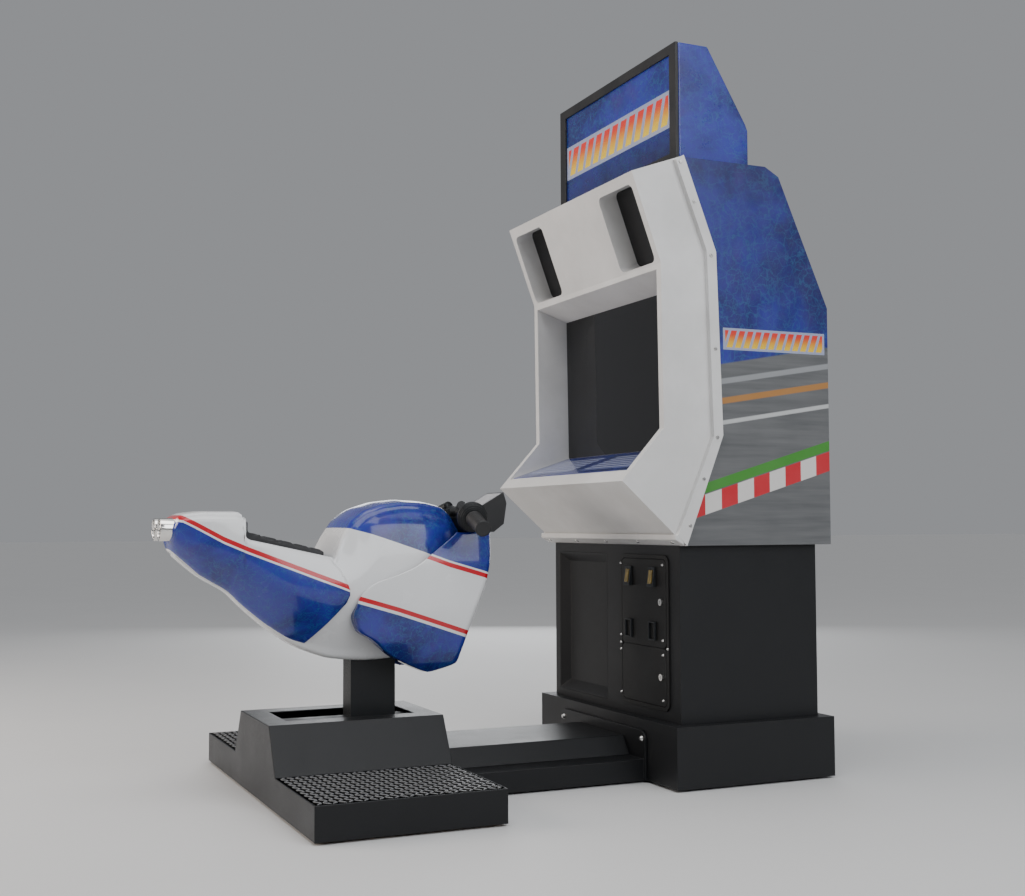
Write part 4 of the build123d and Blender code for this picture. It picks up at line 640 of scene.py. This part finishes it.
def grid_faces(rows, count, closed):
    """Faces between neighbouring rows of count points each; closed rows join end to start."""
    faces = []
    for row in range(rows - 1):
        for k in range(count if closed else count - 1):
            after = (k + 1) % count
            faces.append((row * count + k, row * count + after, (row + 1) * count + after, (row + 1) * count + k))
    return faces


def tube_grid(name, rings, material):
    """Closed rings of equal length joined into a skin, with flat fans at both ends."""
    count = len(rings[0])
    vertices = [point for ring in rings for point in ring]
    faces = grid_faces(len(rings), count, True)
    for ring, start in ((rings[0], 0), (rings[-1], (len(rings) - 1) * count)):
        centre = len(vertices)
        vertices.append(tuple(np.mean(np.array(ring), axis=0)))
        faces += [(start + k, start + (k + 1) % count, centre) for k in range(count)]
    return face_outwards(new_object(name, vertices, faces, material))


def skin(name, lines, material):
    """A sheet through lines of (across, station, height) points."""
    vertices = [(x * MM, COLUMN_Y + s * MM, z * MM) for line in lines for x, s, z in line]
    faces = grid_faces(len(lines), len(lines[0]), False)
    return face_outwards(new_object(name, vertices, faces, material))


def arc(across, up, radius, start, end, steps):
    """Points of an arc round a centre, between two angles in degrees."""
    turns = [math.radians(start + (end - start) * k / steps) for k in range(steps + 1)]
    return [(across + radius * math.cos(turn), up + radius * math.sin(turn)) for turn in turns]


def mirrored(line):
    """A line from the right side to the middle, carried on over the left side."""
    return line + [(-x, s, z) for x, s, z in reversed(line[:-1])]


def monotone(xs, ys):
    """A smooth curve through points that never overshoots them (Fritsch-Carlson)."""
    xs, ys = np.array(xs, float), np.array(ys, float)
    step = np.diff(xs)
    slope = np.diff(ys) / step
    tangent = np.zeros(len(xs))
    tangent[0], tangent[-1] = slope[0], slope[-1]
    for i in range(1, len(xs) - 1):
        if slope[i - 1] * slope[i] > 0:
            a = 2 * step[i] + step[i - 1]
            b = step[i] + 2 * step[i - 1]
            tangent[i] = (a + b) / (a / slope[i - 1] + b / slope[i])

    def at(value):
        value = np.clip(np.asarray(value, float), xs[0], xs[-1])
        i = np.clip(np.searchsorted(xs, value) - 1, 0, len(step) - 1)
        t = (value - xs[i]) / step[i]
        return (
            (2 * t**3 - 3 * t**2 + 1) * ys[i]
            + (t**3 - 2 * t**2 + t) * step[i] * tangent[i]
            + (-2 * t**3 + 3 * t**2) * ys[i + 1]
            + (t**3 - t**2) * step[i] * tangent[i + 1]
        )

    return at


def reader(points, key=0):
    """Linear interpolation through points, looked up by their first (0) or second (1) coordinate."""
    points = np.array(points)
    points = points[np.argsort(points[:, key], kind="stable")]
    return lambda value: float(np.interp(value, points[:, key], points[:, 1 - key]))


def rounded_path(points, radius, steps=6):
    """A polyline with its inner corners rounded, as an array of points."""
    points = [np.array(p, float) for p in points]
    made = [points[0]]
    for before, corner, after in zip(points, points[1:], points[2:]):
        to_before = before - corner
        to_after = after - corner
        reach = min(radius, np.linalg.norm(to_before) * 0.45, np.linalg.norm(to_after) * 0.45)
        start = corner + to_before / np.linalg.norm(to_before) * reach
        end = corner + to_after / np.linalg.norm(to_after) * reach
        for k in range(steps + 1):
            t = k / steps
            made.append((1 - t) ** 2 * start + 2 * t * (1 - t) * corner + t**2 * end)
    made.append(points[-1])
    return np.array(made)


def graded(stops):
    """Stations through (station, largest gap up to the next stop) pairs."""
    made = []
    for (first, gap), (last, _) in zip(stops, stops[1:]):
        count = max(1, math.ceil((last - first) / gap))
        made += [first + (last - first) * k / count for k in range(count)]
    return made + [stops[-1][0]]


# ------------ bike body: one smooth lofted form

# Distance from the column, then (height, half-width) at the keel, the belly, the shoulder and the crown, in mm.
BODY = [
    (-583, (704, 14), (722, 52), (748, 60), (768, 50)),
    (-557, (680, 15), (716, 76), (758, 82), (777, 66)),
    (-482, (630, 16), (698, 98), (762, 98), (786, 78)),
    (-377, (541, 20), (658, 122), (756, 112), (787, 92)),
    (-257, (442, 36), (590, 144), (712, 124), (790, 90)),
    (-142, (386, 58), (574, 152), (716, 104), (797, 66)),
    (-72, (372, 60), (566, 155), (728, 124), (806, 84)),
    (-12, (370, 62), (560, 156), (736, 138), (816, 90)),
    (108, (392, 62), (560, 156), (742, 138), (821, 78)),
    (198, (440, 60), (570, 140), (735, 118), (804, 60)),
    (244, (500, 50), (600, 108), (700, 90), (752, 52)),
]
stations = [row[0] for row in BODY]
level_curves = [
    [monotone(stations, [row[1 + level][part] for row in BODY]) for part in (0, 1)] for level in range(4)
]
KEEL_LINE = monotone(
    [-583, -573, -492, -417, -375, -305, -215, -185, -130, -26, 40, 80, 119, 160, 198, 244],
    [690, 680, 611, 566, 526, 466, 408, 395, 378, 369, 372, 384, 404, 428, 455, 510],
)
TOP_PROFILE = [(-600, 766), (-572, 769), (-543, 782), (-500, 787), (-403, 787), (-392, 778), (-388, 722)]
TOP_PROFILE += [(-376, 712), (-141, 660), (-116, 716), (-88, 761), (-48, 792), (6, 809), (66, 816)]
TOP_PROFILE += [(140, 812), (192, 801), (226, 776), (246, 742)]
top_line = reader(rounded_path(TOP_PROFILE, 9))
BODY_STOPS = ((-560, 9), (-405, 2), (-365, 10), (-160, 3), (-60, 9), (180, 4), (246, 0))
BODY_SIDE_STEPS = 26
TOP_CORNER, FOOT_CORNER = 20.0, 24.0  # largest corner radii
TANK_BLEND = 30  # the tank's crown comes in over this length
TANK_CROWN = 7.0
COVER_GAP = 4  # the body lies this far below the tail cover


def half_width(s, z):
    """Half-width of the body at a station and height."""
    heights = [float(level_curves[level][0](s)) for level in range(4)]
    halves = [float(level_curves[level][1](s)) for level in range(4)]
    heights[0] = min(heights[0], float(KEEL_LINE(s)))
    return float(monotone(heights, halves)(z))


def body_ring(s):
    """The body's cross-section at a station, from the keel up the right side and down the left."""
    on_tank = min(1.0, max(0.0, (s - TANK_REAR) / TANK_BLEND))
    top = top_line(s) - COVER_GAP * (1 - on_tank)
    bottom = float(KEEL_LINE(s))
    corner = min(TOP_CORNER, (top - bottom) * 0.3)
    foot = min(FOOT_CORNER, (top - bottom) * 0.25, 6 + 0.3 * half_width(s, bottom))
    ring = [(0.0, bottom)] + arc(half_width(s, bottom + foot) - foot, bottom + foot, foot, -90, 0, 4)
    for k in range(1, BODY_SIDE_STEPS):
        z = bottom + foot + (top - corner - bottom - foot) * k / BODY_SIDE_STEPS
        ring.append((half_width(s, z), z))
    flat = half_width(s, top - corner) - corner
    ring += arc(flat, top - corner, corner, 0, 90, 6)
    for k in range(1, 6):
        share = 1 - k / 5
        ring.append((flat * share, top + TANK_CROWN * on_tank * (1 - share**2)))
    ring += [(-x, z) for x, z in reversed(ring[1:-1])]
    return [(x * MM, COLUMN_Y + s * MM, z * MM) for x, z in ring]


body = tube_grid("body", [body_ring(s) for s in graded(BODY_STOPS)], body_paint)
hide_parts("body_shell")
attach(body, "lean_bike")

# ------------ tail cover: a raised shell, open underneath

TAIL_EDGE = [(-149, 720), (-150, 655), (-122, 622), (-101, 570), (-104, 545), (-165, 470), (-205, 424)]
tail_end = reader(rounded_path(TAIL_EDGE, 14), 1)
tail_start = reader([(-572, 680), (-581, 712), (-580, 740), (-564, 770), (-556, 790)], 1)
tail_foot = reader(rounded_path(TAIL_FOOT_LINE, 14))
TAIL_ROWS, TAIL_LEVELS = 110, 22
TAIL_RAISE = 11.0  # how far the cover stands out from the body
TAIL_SINK = 2.0  # how far its front edge dips into the body
TAIL_LENGTH = 490
TAIL_FRONT_ROUND, TAIL_REAR_ROUND = 12, 16
TAIL_CORNER_ACROSS, TAIL_CORNER_UP = 14, 12
TAIL_CROWN = 3
TAIL_CLOSED = 0.55  # share of its width left at the rear end
TAIL_LEVEL_POWER = 1.15  # gathers the levels towards the foot
TAIL_FOOT_ROUND = 14  # the foot turns outwards over one part in this many of the height


def tail_point(t, share):
    """Station and height on the cover's side: t runs tail to front, share from the foot to the top edge."""
    s = -580 + t * 480
    for _ in range(12):
        foot = tail_foot(s)
        z = foot + (top_line(s) - TAIL_CORNER_UP - foot) * share
        s = tail_start(z) + t * (tail_end(z) - tail_start(z))
    return s, z


def round_off(share):
    """Rises from 0 to 1 along a quarter circle."""
    return math.sqrt(max(0.0, 1 - (1 - min(1.0, share)) ** 2))


def tail_line(t):
    """The cover's cross-section: from under the right foot over the top to the left foot."""
    settle = round_off((1 - t) * TAIL_LENGTH / TAIL_FRONT_ROUND)
    closing = TAIL_CLOSED + (1 - TAIL_CLOSED) * round_off(t * TAIL_LENGTH / TAIL_REAR_ROUND)
    line = []
    for level in range(TAIL_LEVELS + 1):
        share = 1 - (1 - level / TAIL_LEVELS) ** TAIL_LEVEL_POWER
        s, z = tail_point(t, share)
        rise = TAIL_RAISE * min(settle, round_off(share * TAIL_FOOT_ROUND)) - TAIL_SINK * (1 - settle)
        line.append(((half_width(s, z) + rise) * closing, s, z))
    top = top_line(s)
    flat = line[-1][0] - TAIL_CORNER_ACROSS
    for k in range(1, 5):
        angle = math.pi / 2 * k / 4
        across = flat + TAIL_CORNER_ACROSS * math.cos(angle)
        line.append((across, s, top - TAIL_CORNER_UP + TAIL_CORNER_UP * math.sin(angle)))
    for k in range(1, 5):
        share = 1 - k / 4
        line.append((flat * share, s, top + TAIL_CROWN * (1 - share**2)))
    x, s, z = line[0]
    return mirrored([(x - 16, s, z + 3), (x - 6, s, z - 1)] + line)


tail_lines = [tail_line(row / TAIL_ROWS) for row in range(TAIL_ROWS + 1)]
tail_rear, tail_front = tail_lines[0], tail_lines[-1]
rear_middle = np.mean([z for _, _, z in tail_rear])
for share, shift in ((0.88, -2), (0.6, -3.5), (0.05, -4)):
    tail_lines.insert(0, [(x * share, s + shift, rear_middle + (z - rear_middle) * share) for x, s, z in tail_rear])
for share, shift in ((0.96, -2), (0.88, -8)):
    tail_lines.append([(x * share, s + shift, z) for x, s, z in tail_front])
tail = skin("tail_cover", tail_lines, tail_paint)
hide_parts("left_tail_panel", "right_tail_panel")
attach(tail, "lean_bike")

# ------------ front fairing: U-shaped levels from foot to top

# (height, station) of the rear edge and the nose, (height, half-width), and the plan's share of it by station.
FAIRING_REAR = [(334, 126), (340, 108), (349, 86), (360, 62), (374, 34), (388, 10), (433, -44), (459, -84)]
FAIRING_REAR += [(498, -98), (532, -88), (552, -79), (573, -61), (592, -31), (610, 24), (634, 80), (655, 111)]
FAIRING_REAR += [(676, 138), (704, 176), (722, 199), (728, 206)]
FAIRING_FRONT = [(334, 160), (345, 196), (357, 222), (380, 228), (436, 243), (520, 272), (594, 301)]
FAIRING_FRONT += [(660, 314), (728, 318)]
FAIRING_HALF = [(334, 118), (357, 140), (400, 160), (460, 176), (540, 184), (620, 183), (680, 176), (728, 168)]
FAIRING_PLAN = [(-100, 0.905), (10, 0.95), (150, 1.0), (270, 0.985), (330, 0.90)]
fairing_rear, fairing_front, fairing_half, fairing_plan = (
    monotone(*zip(*points)) for points in (FAIRING_REAR, FAIRING_FRONT, FAIRING_HALF, FAIRING_PLAN)
)
FAIRING_STOPS = ((334, 2), (345, 6), (728, 0))
FAIRING_SIDE_STEPS = 39
FAIRING_MIDDLE = 200
NOSE_ROUND = 26
NOSE_LENGTH = 34
TURN_TOP, TURN_BLEND = 545, 40  # below this height the rear edge turns further inwards


def fairing_level(z):
    """A horizontal U of the fairing: right rear edge, round the nose, left rear edge."""
    turn = min(1.0, max(0.0, (TURN_TOP - z) / TURN_BLEND))
    rear = float(fairing_rear(z)) + 9 * turn
    front = float(fairing_front(z))
    half = float(fairing_half(z))
    points = []
    for k in range(FAIRING_SIDE_STEPS + 1):
        s = rear + (front - NOSE_ROUND - rear) * k / FAIRING_SIDE_STEPS
        points.append((half * float(fairing_plan(s)), s))
    points += arc(points[-1][0] - NOSE_ROUND, front - NOSE_ROUND, NOSE_ROUND, 0, 90, 8)[1:-1]
    nose_x, nose_s = points[-1]
    for k in range(1, 7):
        share = 1 - k / 6
        points.append((nose_x * share, nose_s + NOSE_LENGTH * (1 - share**2)))
    edge_x, edge_s = points[0]
    lip = [
        (edge_x - 14 - 12 * turn, edge_s + 9 - 4 * turn),
        (edge_x - 9 - 13 * turn, edge_s + 3 - 12 * turn),
        (edge_x - 3 - 2 * turn, edge_s - 0.5 - 2.5 * turn),
    ]
    return mirrored([(x, s, z) for x, s in lip + points])


fairing_lines = [fairing_level(z) for z in graded(FAIRING_STOPS)]
fairing_foot, fairing_top = fairing_lines[0], fairing_lines[-1]
for across, along, up in ((0.94, 0.93, 3), (0.84, 0.8, 14)):
    turned_in = [(x * across, FAIRING_MIDDLE + (s - FAIRING_MIDDLE) * along, z + up) for x, s, z in fairing_foot]
    fairing_lines.insert(0, turned_in)
for across, up in ((0.985, 0.5), (0.93, -4)):
    fairing_lines.append([(x * across, s, z + up) for x, s, z in fairing_top])
fairing = skin("fairing", fairing_lines, fairing_paint)
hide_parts("front_fairing")
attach(fairing, "lean_bike")

# ------------ seat pad: cloth blown up, then sewn channels

PAD_OUTLINE = [(-154, 676), (-160, 655), (-385, 706), (-400, 711), (-404, 770), (-384, 774), (-377, 730)]
PAD_SLICES = 24
PAD_SWELL = 0.004
CHANNELS = 5
CHANNEL_START = Vector((0, COLUMN_Y - 0.377, 0.728))
CHANNEL_RUN = Vector((0, 225, -52)).normalized()
CHANNEL_LENGTH = 0.228  # all the channels together
CHANNEL_DEPTH, CHANNEL_SPREAD = 0.005, 0.0035

pad_half = (SEAT_HIGH.x - SEAT_LOW.x) / 2
pad_outline = rounded_path(PAD_OUTLINE + PAD_OUTLINE[:2], 7, 3)[1:-1]
pad_rings = []
for k in range(PAD_SLICES + 1):
    x = -pad_half + 2 * pad_half * k / PAD_SLICES
    pad_rings.append([(x, COLUMN_Y + s * MM, z * MM) for s, z in pad_outline])
seat = tube_grid("seat", pad_rings, black_vinyl)
remesh = seat.modifiers.new("remesh", "REMESH")
remesh.mode = "VOXEL"
remesh.voxel_size = 0.005
bpy.context.view_layer.objects.active = seat
with bpy.context.temp_override(object=seat, active_object=seat, selected_objects=[seat]):
    bpy.ops.object.modifier_apply(modifier="remesh")
rest_points = np.array([v.co for v in seat.data.vertices])

cloth = seat.modifiers.new("cloth", "CLOTH")
cloth.settings.quality = 6
cloth.settings.mass = 0.3
cloth.settings.tension_stiffness = 30
cloth.settings.compression_stiffness = 30
cloth.settings.shear_stiffness = 15
cloth.settings.bending_stiffness = 2
cloth.settings.use_pressure = True
cloth.settings.uniform_pressure_force = 4
cloth.settings.effector_weights.gravity = 0
cloth.point_cache.frame_start = 1
cloth.point_cache.frame_end = 20
for step in range(1, 21):
    scene.frame_set(step)
evaluated = seat.evaluated_get(bpy.context.evaluated_depsgraph_get())
blown = np.array([v.co for v in evaluated.data.vertices])
seat.modifiers.remove(cloth)
scene.frame_set(1)
move = blown - rest_points
size = np.linalg.norm(move, axis=1, keepdims=True)
move = move * np.minimum(1.0, PAD_SWELL / np.maximum(size, 1e-9))
seat.data.vertices.foreach_set("co", (rest_points + move).astype(np.float32).ravel())

for vertex in seat.data.vertices:
    run = (vertex.co - CHANNEL_START).dot(CHANNEL_RUN)
    if vertex.co.z > 0.60 and vertex.normal.z > 0.3 and 0 < run < CHANNEL_LENGTH:
        share = run / CHANNEL_LENGTH * CHANNELS
        near = abs(share - round(share)) * CHANNEL_LENGTH / CHANNELS
        if 0 < round(share) < CHANNELS:
            vertex.co.z -= CHANNEL_DEPTH * math.exp(-((near / CHANNEL_SPREAD) ** 2))
seat.data.update()
smooth = seat.modifiers.new("smooth", "SUBSURF")
smooth.levels = 1
smooth.render_levels = 1
for polygon in seat.data.polygons:
    polygon.use_smooth = True
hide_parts("seat_pad")
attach(seat, "lean_bike")

# ------------ handlebar: clamp, console, flanges and ribbed grips

throttle = next(joint for joint in frame["record"]["behaviour"]["joints"] if joint["name"] == "throttle_twist")
GRIP_ROOT = Vector(throttle["pos_m"])
GRIP_AXIS = Vector(throttle["axis"]).normalized()
GRIP_RADIUS = 0.022
GRIP_START, GRIP_END = 0.0105, 0.121
GRIP_RIBS = 22
BARREL_RADIUS, BARREL_HALF = 0.0255, 0.078
BARREL_CENTRE = Vector((0, COLUMN_Y + 0.273, 0.7815))
GROOVE_PLACES = (-0.048, 0.048)
CONSOLE_REAR, CONSOLE_FRONT = COLUMN_Y + 0.247, COLUMN_Y + 0.299
CONSOLE_FOOT, CONSOLE_TOP = 0.7275, 0.778
# (start, end, radius, bevel) of each flange disc along the grip's axis.
FLANGE_DISCS = (
    (-0.022, -0.008, 0.044, 0.003),
    (-0.0075, -0.003, 0.0405, 0.0014),
    (-0.0025, 0.003, 0.0385, 0.0016),
    (0.0035, 0.0075, 0.0335, 0.0014),
    (0.0078, 0.0100, 0.0285, 0.0008),
)


def lathe_rings(origin, axis, profile, segments=40):
    """Rings of a turned form: profile holds (distance along the axis, radius)."""
    side = axis.cross(Vector((0, 0, 1))).normalized()
    other = axis.cross(side)
    rings = []
    for along, radius in profile:
        ring = []
        for k in range(segments):
            angle = 2 * math.pi * k / segments
            ring.append(tuple(origin + axis * along + (side * math.cos(angle) + other * math.sin(angle)) * radius))
        rings.append(ring)
    return rings


def rounded_disc(start, end, radius, bevel):
    """Profile points of a disc with rounded rims."""
    return [
        (start, radius - bevel),
        (start + bevel * 0.3, radius - bevel * 0.3),
        (start + bevel, radius),
        (end - bevel, radius),
        (end - bevel * 0.3, radius - bevel * 0.3),
        (end, radius - bevel),
    ]


def joined(name, parts, material):
    """Several closed skins as one piece."""
    vertices, faces = [], []
    for part in parts:
        base = len(vertices)
        vertices += [tuple(v.co) for v in part.data.vertices]
        faces += [tuple(base + index for index in polygon.vertices) for polygon in part.data.polygons]
        bpy.data.objects.remove(part)
    made = new_object(name, vertices, faces, material)
    made.modifiers.new("weighted", "WEIGHTED_NORMAL")
    return made


def box_section(x, low_y, high_y, low_z, high_z, radius):
    """A rectangle with rounded corners in the plane at x."""
    ring = []
    for y, z, start in (
        (high_y - radius, high_z - radius, 0),
        (low_y + radius, high_z - radius, 90),
        (low_y + radius, low_z + radius, 180),
        (high_y - radius, low_z + radius, 270),
    ):
        ring += [(x, *point) for point in arc(y, z, radius, start, start + 90, 5)]
    return ring


def barrel():
    """The rounded clamp across the console, with grooves cut round it."""
    groove = BARREL_RADIUS - 0.0045
    end = [(BARREL_HALF - 0.005, BARREL_RADIUS), (BARREL_HALF - 0.002, BARREL_RADIUS - 0.002), (BARREL_HALF, 0.019)]
    profile = [(-x, radius) for x, radius in reversed(end)]
    for place in GROOVE_PLACES:
        profile += [(place - 0.0045, BARREL_RADIUS), (place - 0.0035, groove)]
        profile += [(place + 0.0035, groove), (place + 0.0045, BARREL_RADIUS)]
    return tube_grid("barrel", lathe_rings(BARREL_CENTRE, Vector((1, 0, 0)), profile + end, 36), dark_steel)


def console():
    """The block under the clamp, rounded at every edge."""
    rings = []
    for x, shrink in ((-0.120, 0.006), (-0.117, 0.002), (-0.112, 0), (0.112, 0), (0.117, 0.002), (0.120, 0.006)):
        low_y, high_y = CONSOLE_REAR + shrink, CONSOLE_FRONT - shrink
        rings.append(box_section(x, low_y, high_y, CONSOLE_FOOT, CONSOLE_TOP - shrink, 0.010))
    return tube_grid("console", rings, dark_steel)


def bar_line(side):
    """Root and direction of the grip on a side: 1 is right, -1 left."""
    return [Vector((side * line.x, line.y, line.z)) for line in (GRIP_ROOT, GRIP_AXIS)]


flange = [(-0.150, 0.0155), (-0.060, 0.0165), (-0.040, 0.021), (-0.026, 0.030)]
for disc in FLANGE_DISCS:
    flange += rounded_disc(*disc)
bar_parts = [barrel(), console()]
bar_parts += [tube_grid("flange", lathe_rings(*bar_line(side), flange), dark_steel) for side in (-1, 1)]
bars = joined("bars", bar_parts, dark_steel)
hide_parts("handlebar")
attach(bars, "lean_bike")

grip_profile = [(0.0, 0.013), (0.001, 0.024), (0.004, 0.0245), (0.006, 0.0225)]
grip_profile = [(GRIP_START + along, radius) for along, radius in grip_profile]
for k in range(GRIP_RIBS):
    place = GRIP_START + 0.007 + (GRIP_END - GRIP_START - 0.016) * k / GRIP_RIBS
    grip_profile += [(place, GRIP_RADIUS - 0.0012), (place + 0.0012, GRIP_RADIUS), (place + 0.0030, GRIP_RADIUS)]
grip_end = [(0.008, 0.0212), (0.006, 0.0226), (0.002, 0.0226), (0.0, 0.0205), (0.0012, 0.016), (0.0016, 0.006)]
grip_profile += [(GRIP_END - along, radius) for along, radius in grip_end]
for name, node, body_name, side in (
    ("grip_left", "left_grip", "lean_bike", -1),
    ("grip_right", "throttle_grip", "throttle", 1),
):
    grip = tube_grid(name, lathe_rings(*bar_line(side), grip_profile), black_rubber)
    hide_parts(node)
    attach(grip, body_name)

# ------------ the bezel's foot strip and its screws

STRIP_HALF = (BEZEL_HIGH.x - BEZEL_LOW.x) / 2 - 0.0008  # its ends stay just inside the bezel's sides
STRIP_REAR, STRIP_FRONT = PLINTH_Y + 0.001, PLINTH_Y + 0.030
STRIP_FOOT, STRIP_MIDDLE, STRIP_TOP = 0.6885, 0.7045, 0.7195
STRIP_SCREWS = (-0.40, -0.20, 0.0, 0.20, 0.40)
SCREW_AXIS = Vector((0, -0.48, -0.88))
SCREW_DOME = [(-0.0045, 0.0062), (0.0, 0.0064), (0.0012, 0.0056), (0.0022, 0.004), (0.0026, 0.0018)]


def foot_strip():
    """The moulded rim that closes the bezel below the chin: upright above, drawn back below."""
    section = [(STRIP_REAR, STRIP_TOP), (STRIP_REAR, STRIP_MIDDLE), (STRIP_FRONT, STRIP_FOOT), (STRIP_FRONT, STRIP_TOP)]
    outline = rounded_path(section + section[:2], 0.0025, 3)[1:-1]
    centre = np.mean(outline, axis=0)
    rings = []
    for inset, share in ((0.0, 0.8), (0.001, 0.93), (0.003, 1.0)):
        rings.append([(STRIP_HALF - inset, *(centre + (point - centre) * share)) for point in outline])
    rings += [[(-x, y, z) for x, y, z in ring] for ring in reversed(rings)]
    return tube_grid("rim", rings, pale_moulding)


rim = joined("bezel_rim", [foot_strip()], pale_moulding)
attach(rim, "cabinet")

heads = []
for place in STRIP_SCREWS:
    centre = Vector((place, (STRIP_REAR + STRIP_FRONT) / 2, STRIP_FOOT + 0.008))
    heads.append(tube_grid("head", lathe_rings(centre, SCREW_AXIS, SCREW_DOME, 20), bright_steel))
rim_screws = joined("rim_screws", heads, bright_steel)
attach(rim_screws, "cabinet")

# ------------ tread plates with raised lugs

HUMP_HALF = 0.2376
LUG_LENGTH = 0.024
LUG_WIDTH = 0.0075
LUG_HEIGHT = 0.0022
LUG_PITCH = 0.0185
LUG_MARGIN = 0.014
LUG_SIDES = 10
LUG_LEVELS = ((1.0, -0.0004), (0.92, 0.45 * LUG_HEIGHT), (0.62, 0.9 * LUG_HEIGHT))
PLATE_TOP = TREAD_HIGH.z - LUG_HEIGHT


def add_lug(edit, x, y, angle):
    """One raised oval lug on the plate."""
    rings = []
    for share, rise in LUG_LEVELS:
        ring = []
        for k in range(LUG_SIDES):
            turn = 2 * math.pi * k / LUG_SIDES
            u = math.cos(turn) * LUG_LENGTH / 2 * share
            v = math.sin(turn) * LUG_WIDTH / 2 * share
            across = u * math.cos(angle) - v * math.sin(angle)
            along = u * math.sin(angle) + v * math.cos(angle)
            ring.append(edit.verts.new((x + across, y + along, PLATE_TOP + rise)))
        rings.append(ring)
    for lower, upper in zip(rings, rings[1:]):
        for k in range(LUG_SIDES):
            after = (k + 1) % LUG_SIDES
            edit.faces.new((lower[k], lower[after], upper[after], upper[k]))
    edit.faces.new(rings[-1])


def add_box(edit, low, high):
    made = bmesh.ops.create_cube(edit, size=1.0)
    for vertex in made["verts"]:
        for axis in range(3):
            vertex.co[axis] = low[axis] if vertex.co[axis] < 0 else high[axis]


def lug_places(low, high):
    """Centres of the lugs between two edges of the plate."""
    count = int((high - low - 0.01) / LUG_PITCH)
    return [low + LUG_MARGIN + k * (high - low - 2 * LUG_MARGIN) / (count - 1) for k in range(count)]


def make_tread_rubber():
    """Worn grey rubber, with a painted highlight that makes the lugs' tops paler."""
    paint = Paint("tread_rubber")
    # painted highlight: the colour grows paler with height up the lugs, as if their tops caught the light
    high = paint.ease(paint.z, PLATE_TOP, TREAD_HIGH.z)
    dirt = paint.noise(25, 4, 0.65)
    colour = paint.mix(dirt, (0.038, 0.039, 0.041), (0.070, 0.071, 0.073))
    paint.set("Base Color", paint.mix(high, colour, (0.15, 0.152, 0.156)))
    paint.set("Roughness", paint.ease(dirt, 0.3, 0.7, 0.38, 0.6))
    paint.bump(paint.noise(1200, 2, 0.6), 0.0003, 0.5)
    return paint.material


tread = bmesh.new()
for side in (-1, 1):
    low_x, high_x = sorted((side * HUMP_HALF, side * TREAD_HIGH.x))
    add_box(tread, (low_x, TREAD_LOW.y, TREAD_LOW.z), (high_x, TREAD_HIGH.y, PLATE_TOP))
    for i, x in enumerate(lug_places(low_x, high_x)):
        for j, y in enumerate(lug_places(TREAD_LOW.y, TREAD_HIGH.y)):
            add_lug(tread, x, y, math.radians(45 if (i + j) % 2 else -45))
tread_mesh = bpy.data.meshes.new("tread")
tread.to_mesh(tread_mesh)
tread.free()
treads = bpy.data.objects.new("treads", tread_mesh)
scene.collection.objects.link(treads)
tread_mesh.materials.append(make_tread_rubber())
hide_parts("tread_plates")
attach(treads, "cabinet")

# ------------ floor, light and camera

FLOOR_REACH = 60.0
corners = [(x * FLOOR_REACH, y * FLOOR_REACH, 0) for x, y in ((-1, -1), (1, -1), (1, 1), (-1, 1))]
floor_mesh = bpy.data.meshes.new("floor")
floor_mesh.from_pydata(corners, [], [(0, 1, 2, 3)])
floor = bpy.data.objects.new("floor", floor_mesh)
scene.collection.objects.link(floor)
floor_mesh.materials.append(make_floor())

world = bpy.data.worlds.new("studio")
world.use_nodes = True
world.node_tree.nodes["Background"].inputs["Color"].default_value = (0.80, 0.82, 0.86, 1)
world.node_tree.nodes["Background"].inputs["Strength"].default_value = 0.36
scene.world = world


def softbox(name, place, target, size, power, tint=(1, 1, 1)):
    """An area light that faces a target."""
    light = bpy.data.lights.new(name, "AREA")
    light.shape = "RECTANGLE"
    light.size, light.size_y = size
    light.energy = power
    light.color = tint
    lamp = bpy.data.objects.new(name, light)
    scene.collection.objects.link(lamp)
    lamp.location = place
    lamp.rotation_mode = "QUATERNION"
    lamp.rotation_quaternion = (Vector(target) - Vector(place)).to_track_quat("-Z", "Y")


softbox("key", (-1.4, -4.1, 1.9), (0, 0.2, 0.8), (2.8, 1.8), 150, (1.0, 0.90, 0.81))
softbox("side", (4.6, 0.6, 3.2), (0.2, 0.2, 0.9), (4.2, 3.2), 150, (0.95, 0.97, 1.0))
softbox("top", (1.4, -0.6, 4.4), (0, 0, 0.5), (2.6, 2.6), 60)
softbox("far", (-5.2, 2.4, 1.3), (0, 0, 0.4), (3.4, 1.8), 55, (0.96, 0.98, 1.0))

sky = bpy.data.lights.new("sky", "SUN")
sky.energy = 0.65
sky.angle = math.radians(60)
sky_lamp = bpy.data.objects.new("sky", sky)
scene.collection.objects.link(sky_lamp)

CAMERA_PLACE = (3.7146, -1.5588, 0.7530)
CAMERA_AZIMUTH = math.radians(65.909)
CAMERA_PITCH = math.radians(3.2132)
CAMERA_ROLL = math.radians(-0.2273)
CAMERA_SENSOR, CAMERA_LENS = 36, 47.155
forward = Vector(
    (
        -math.sin(CAMERA_AZIMUTH) * math.cos(CAMERA_PITCH),
        math.cos(CAMERA_AZIMUTH) * math.cos(CAMERA_PITCH),
        math.sin(CAMERA_PITCH),
    )
)
level_right = Vector((math.cos(CAMERA_AZIMUTH), math.sin(CAMERA_AZIMUTH), 0))
level_up = level_right.cross(forward)
right = level_right * math.cos(CAMERA_ROLL) + level_up * math.sin(CAMERA_ROLL)
up = level_up * math.cos(CAMERA_ROLL) - level_right * math.sin(CAMERA_ROLL)
camera_data = bpy.data.cameras.new("camera")
camera_data.sensor_width = CAMERA_SENSOR
camera_data.lens = CAMERA_LENS
camera = bpy.data.objects.new("camera", camera_data)
scene.collection.objects.link(camera)
turned = Matrix((right, up, -forward)).transposed().to_4x4()
camera.matrix_world = Matrix.Translation(CAMERA_PLACE) @ turned
scene.camera = camera
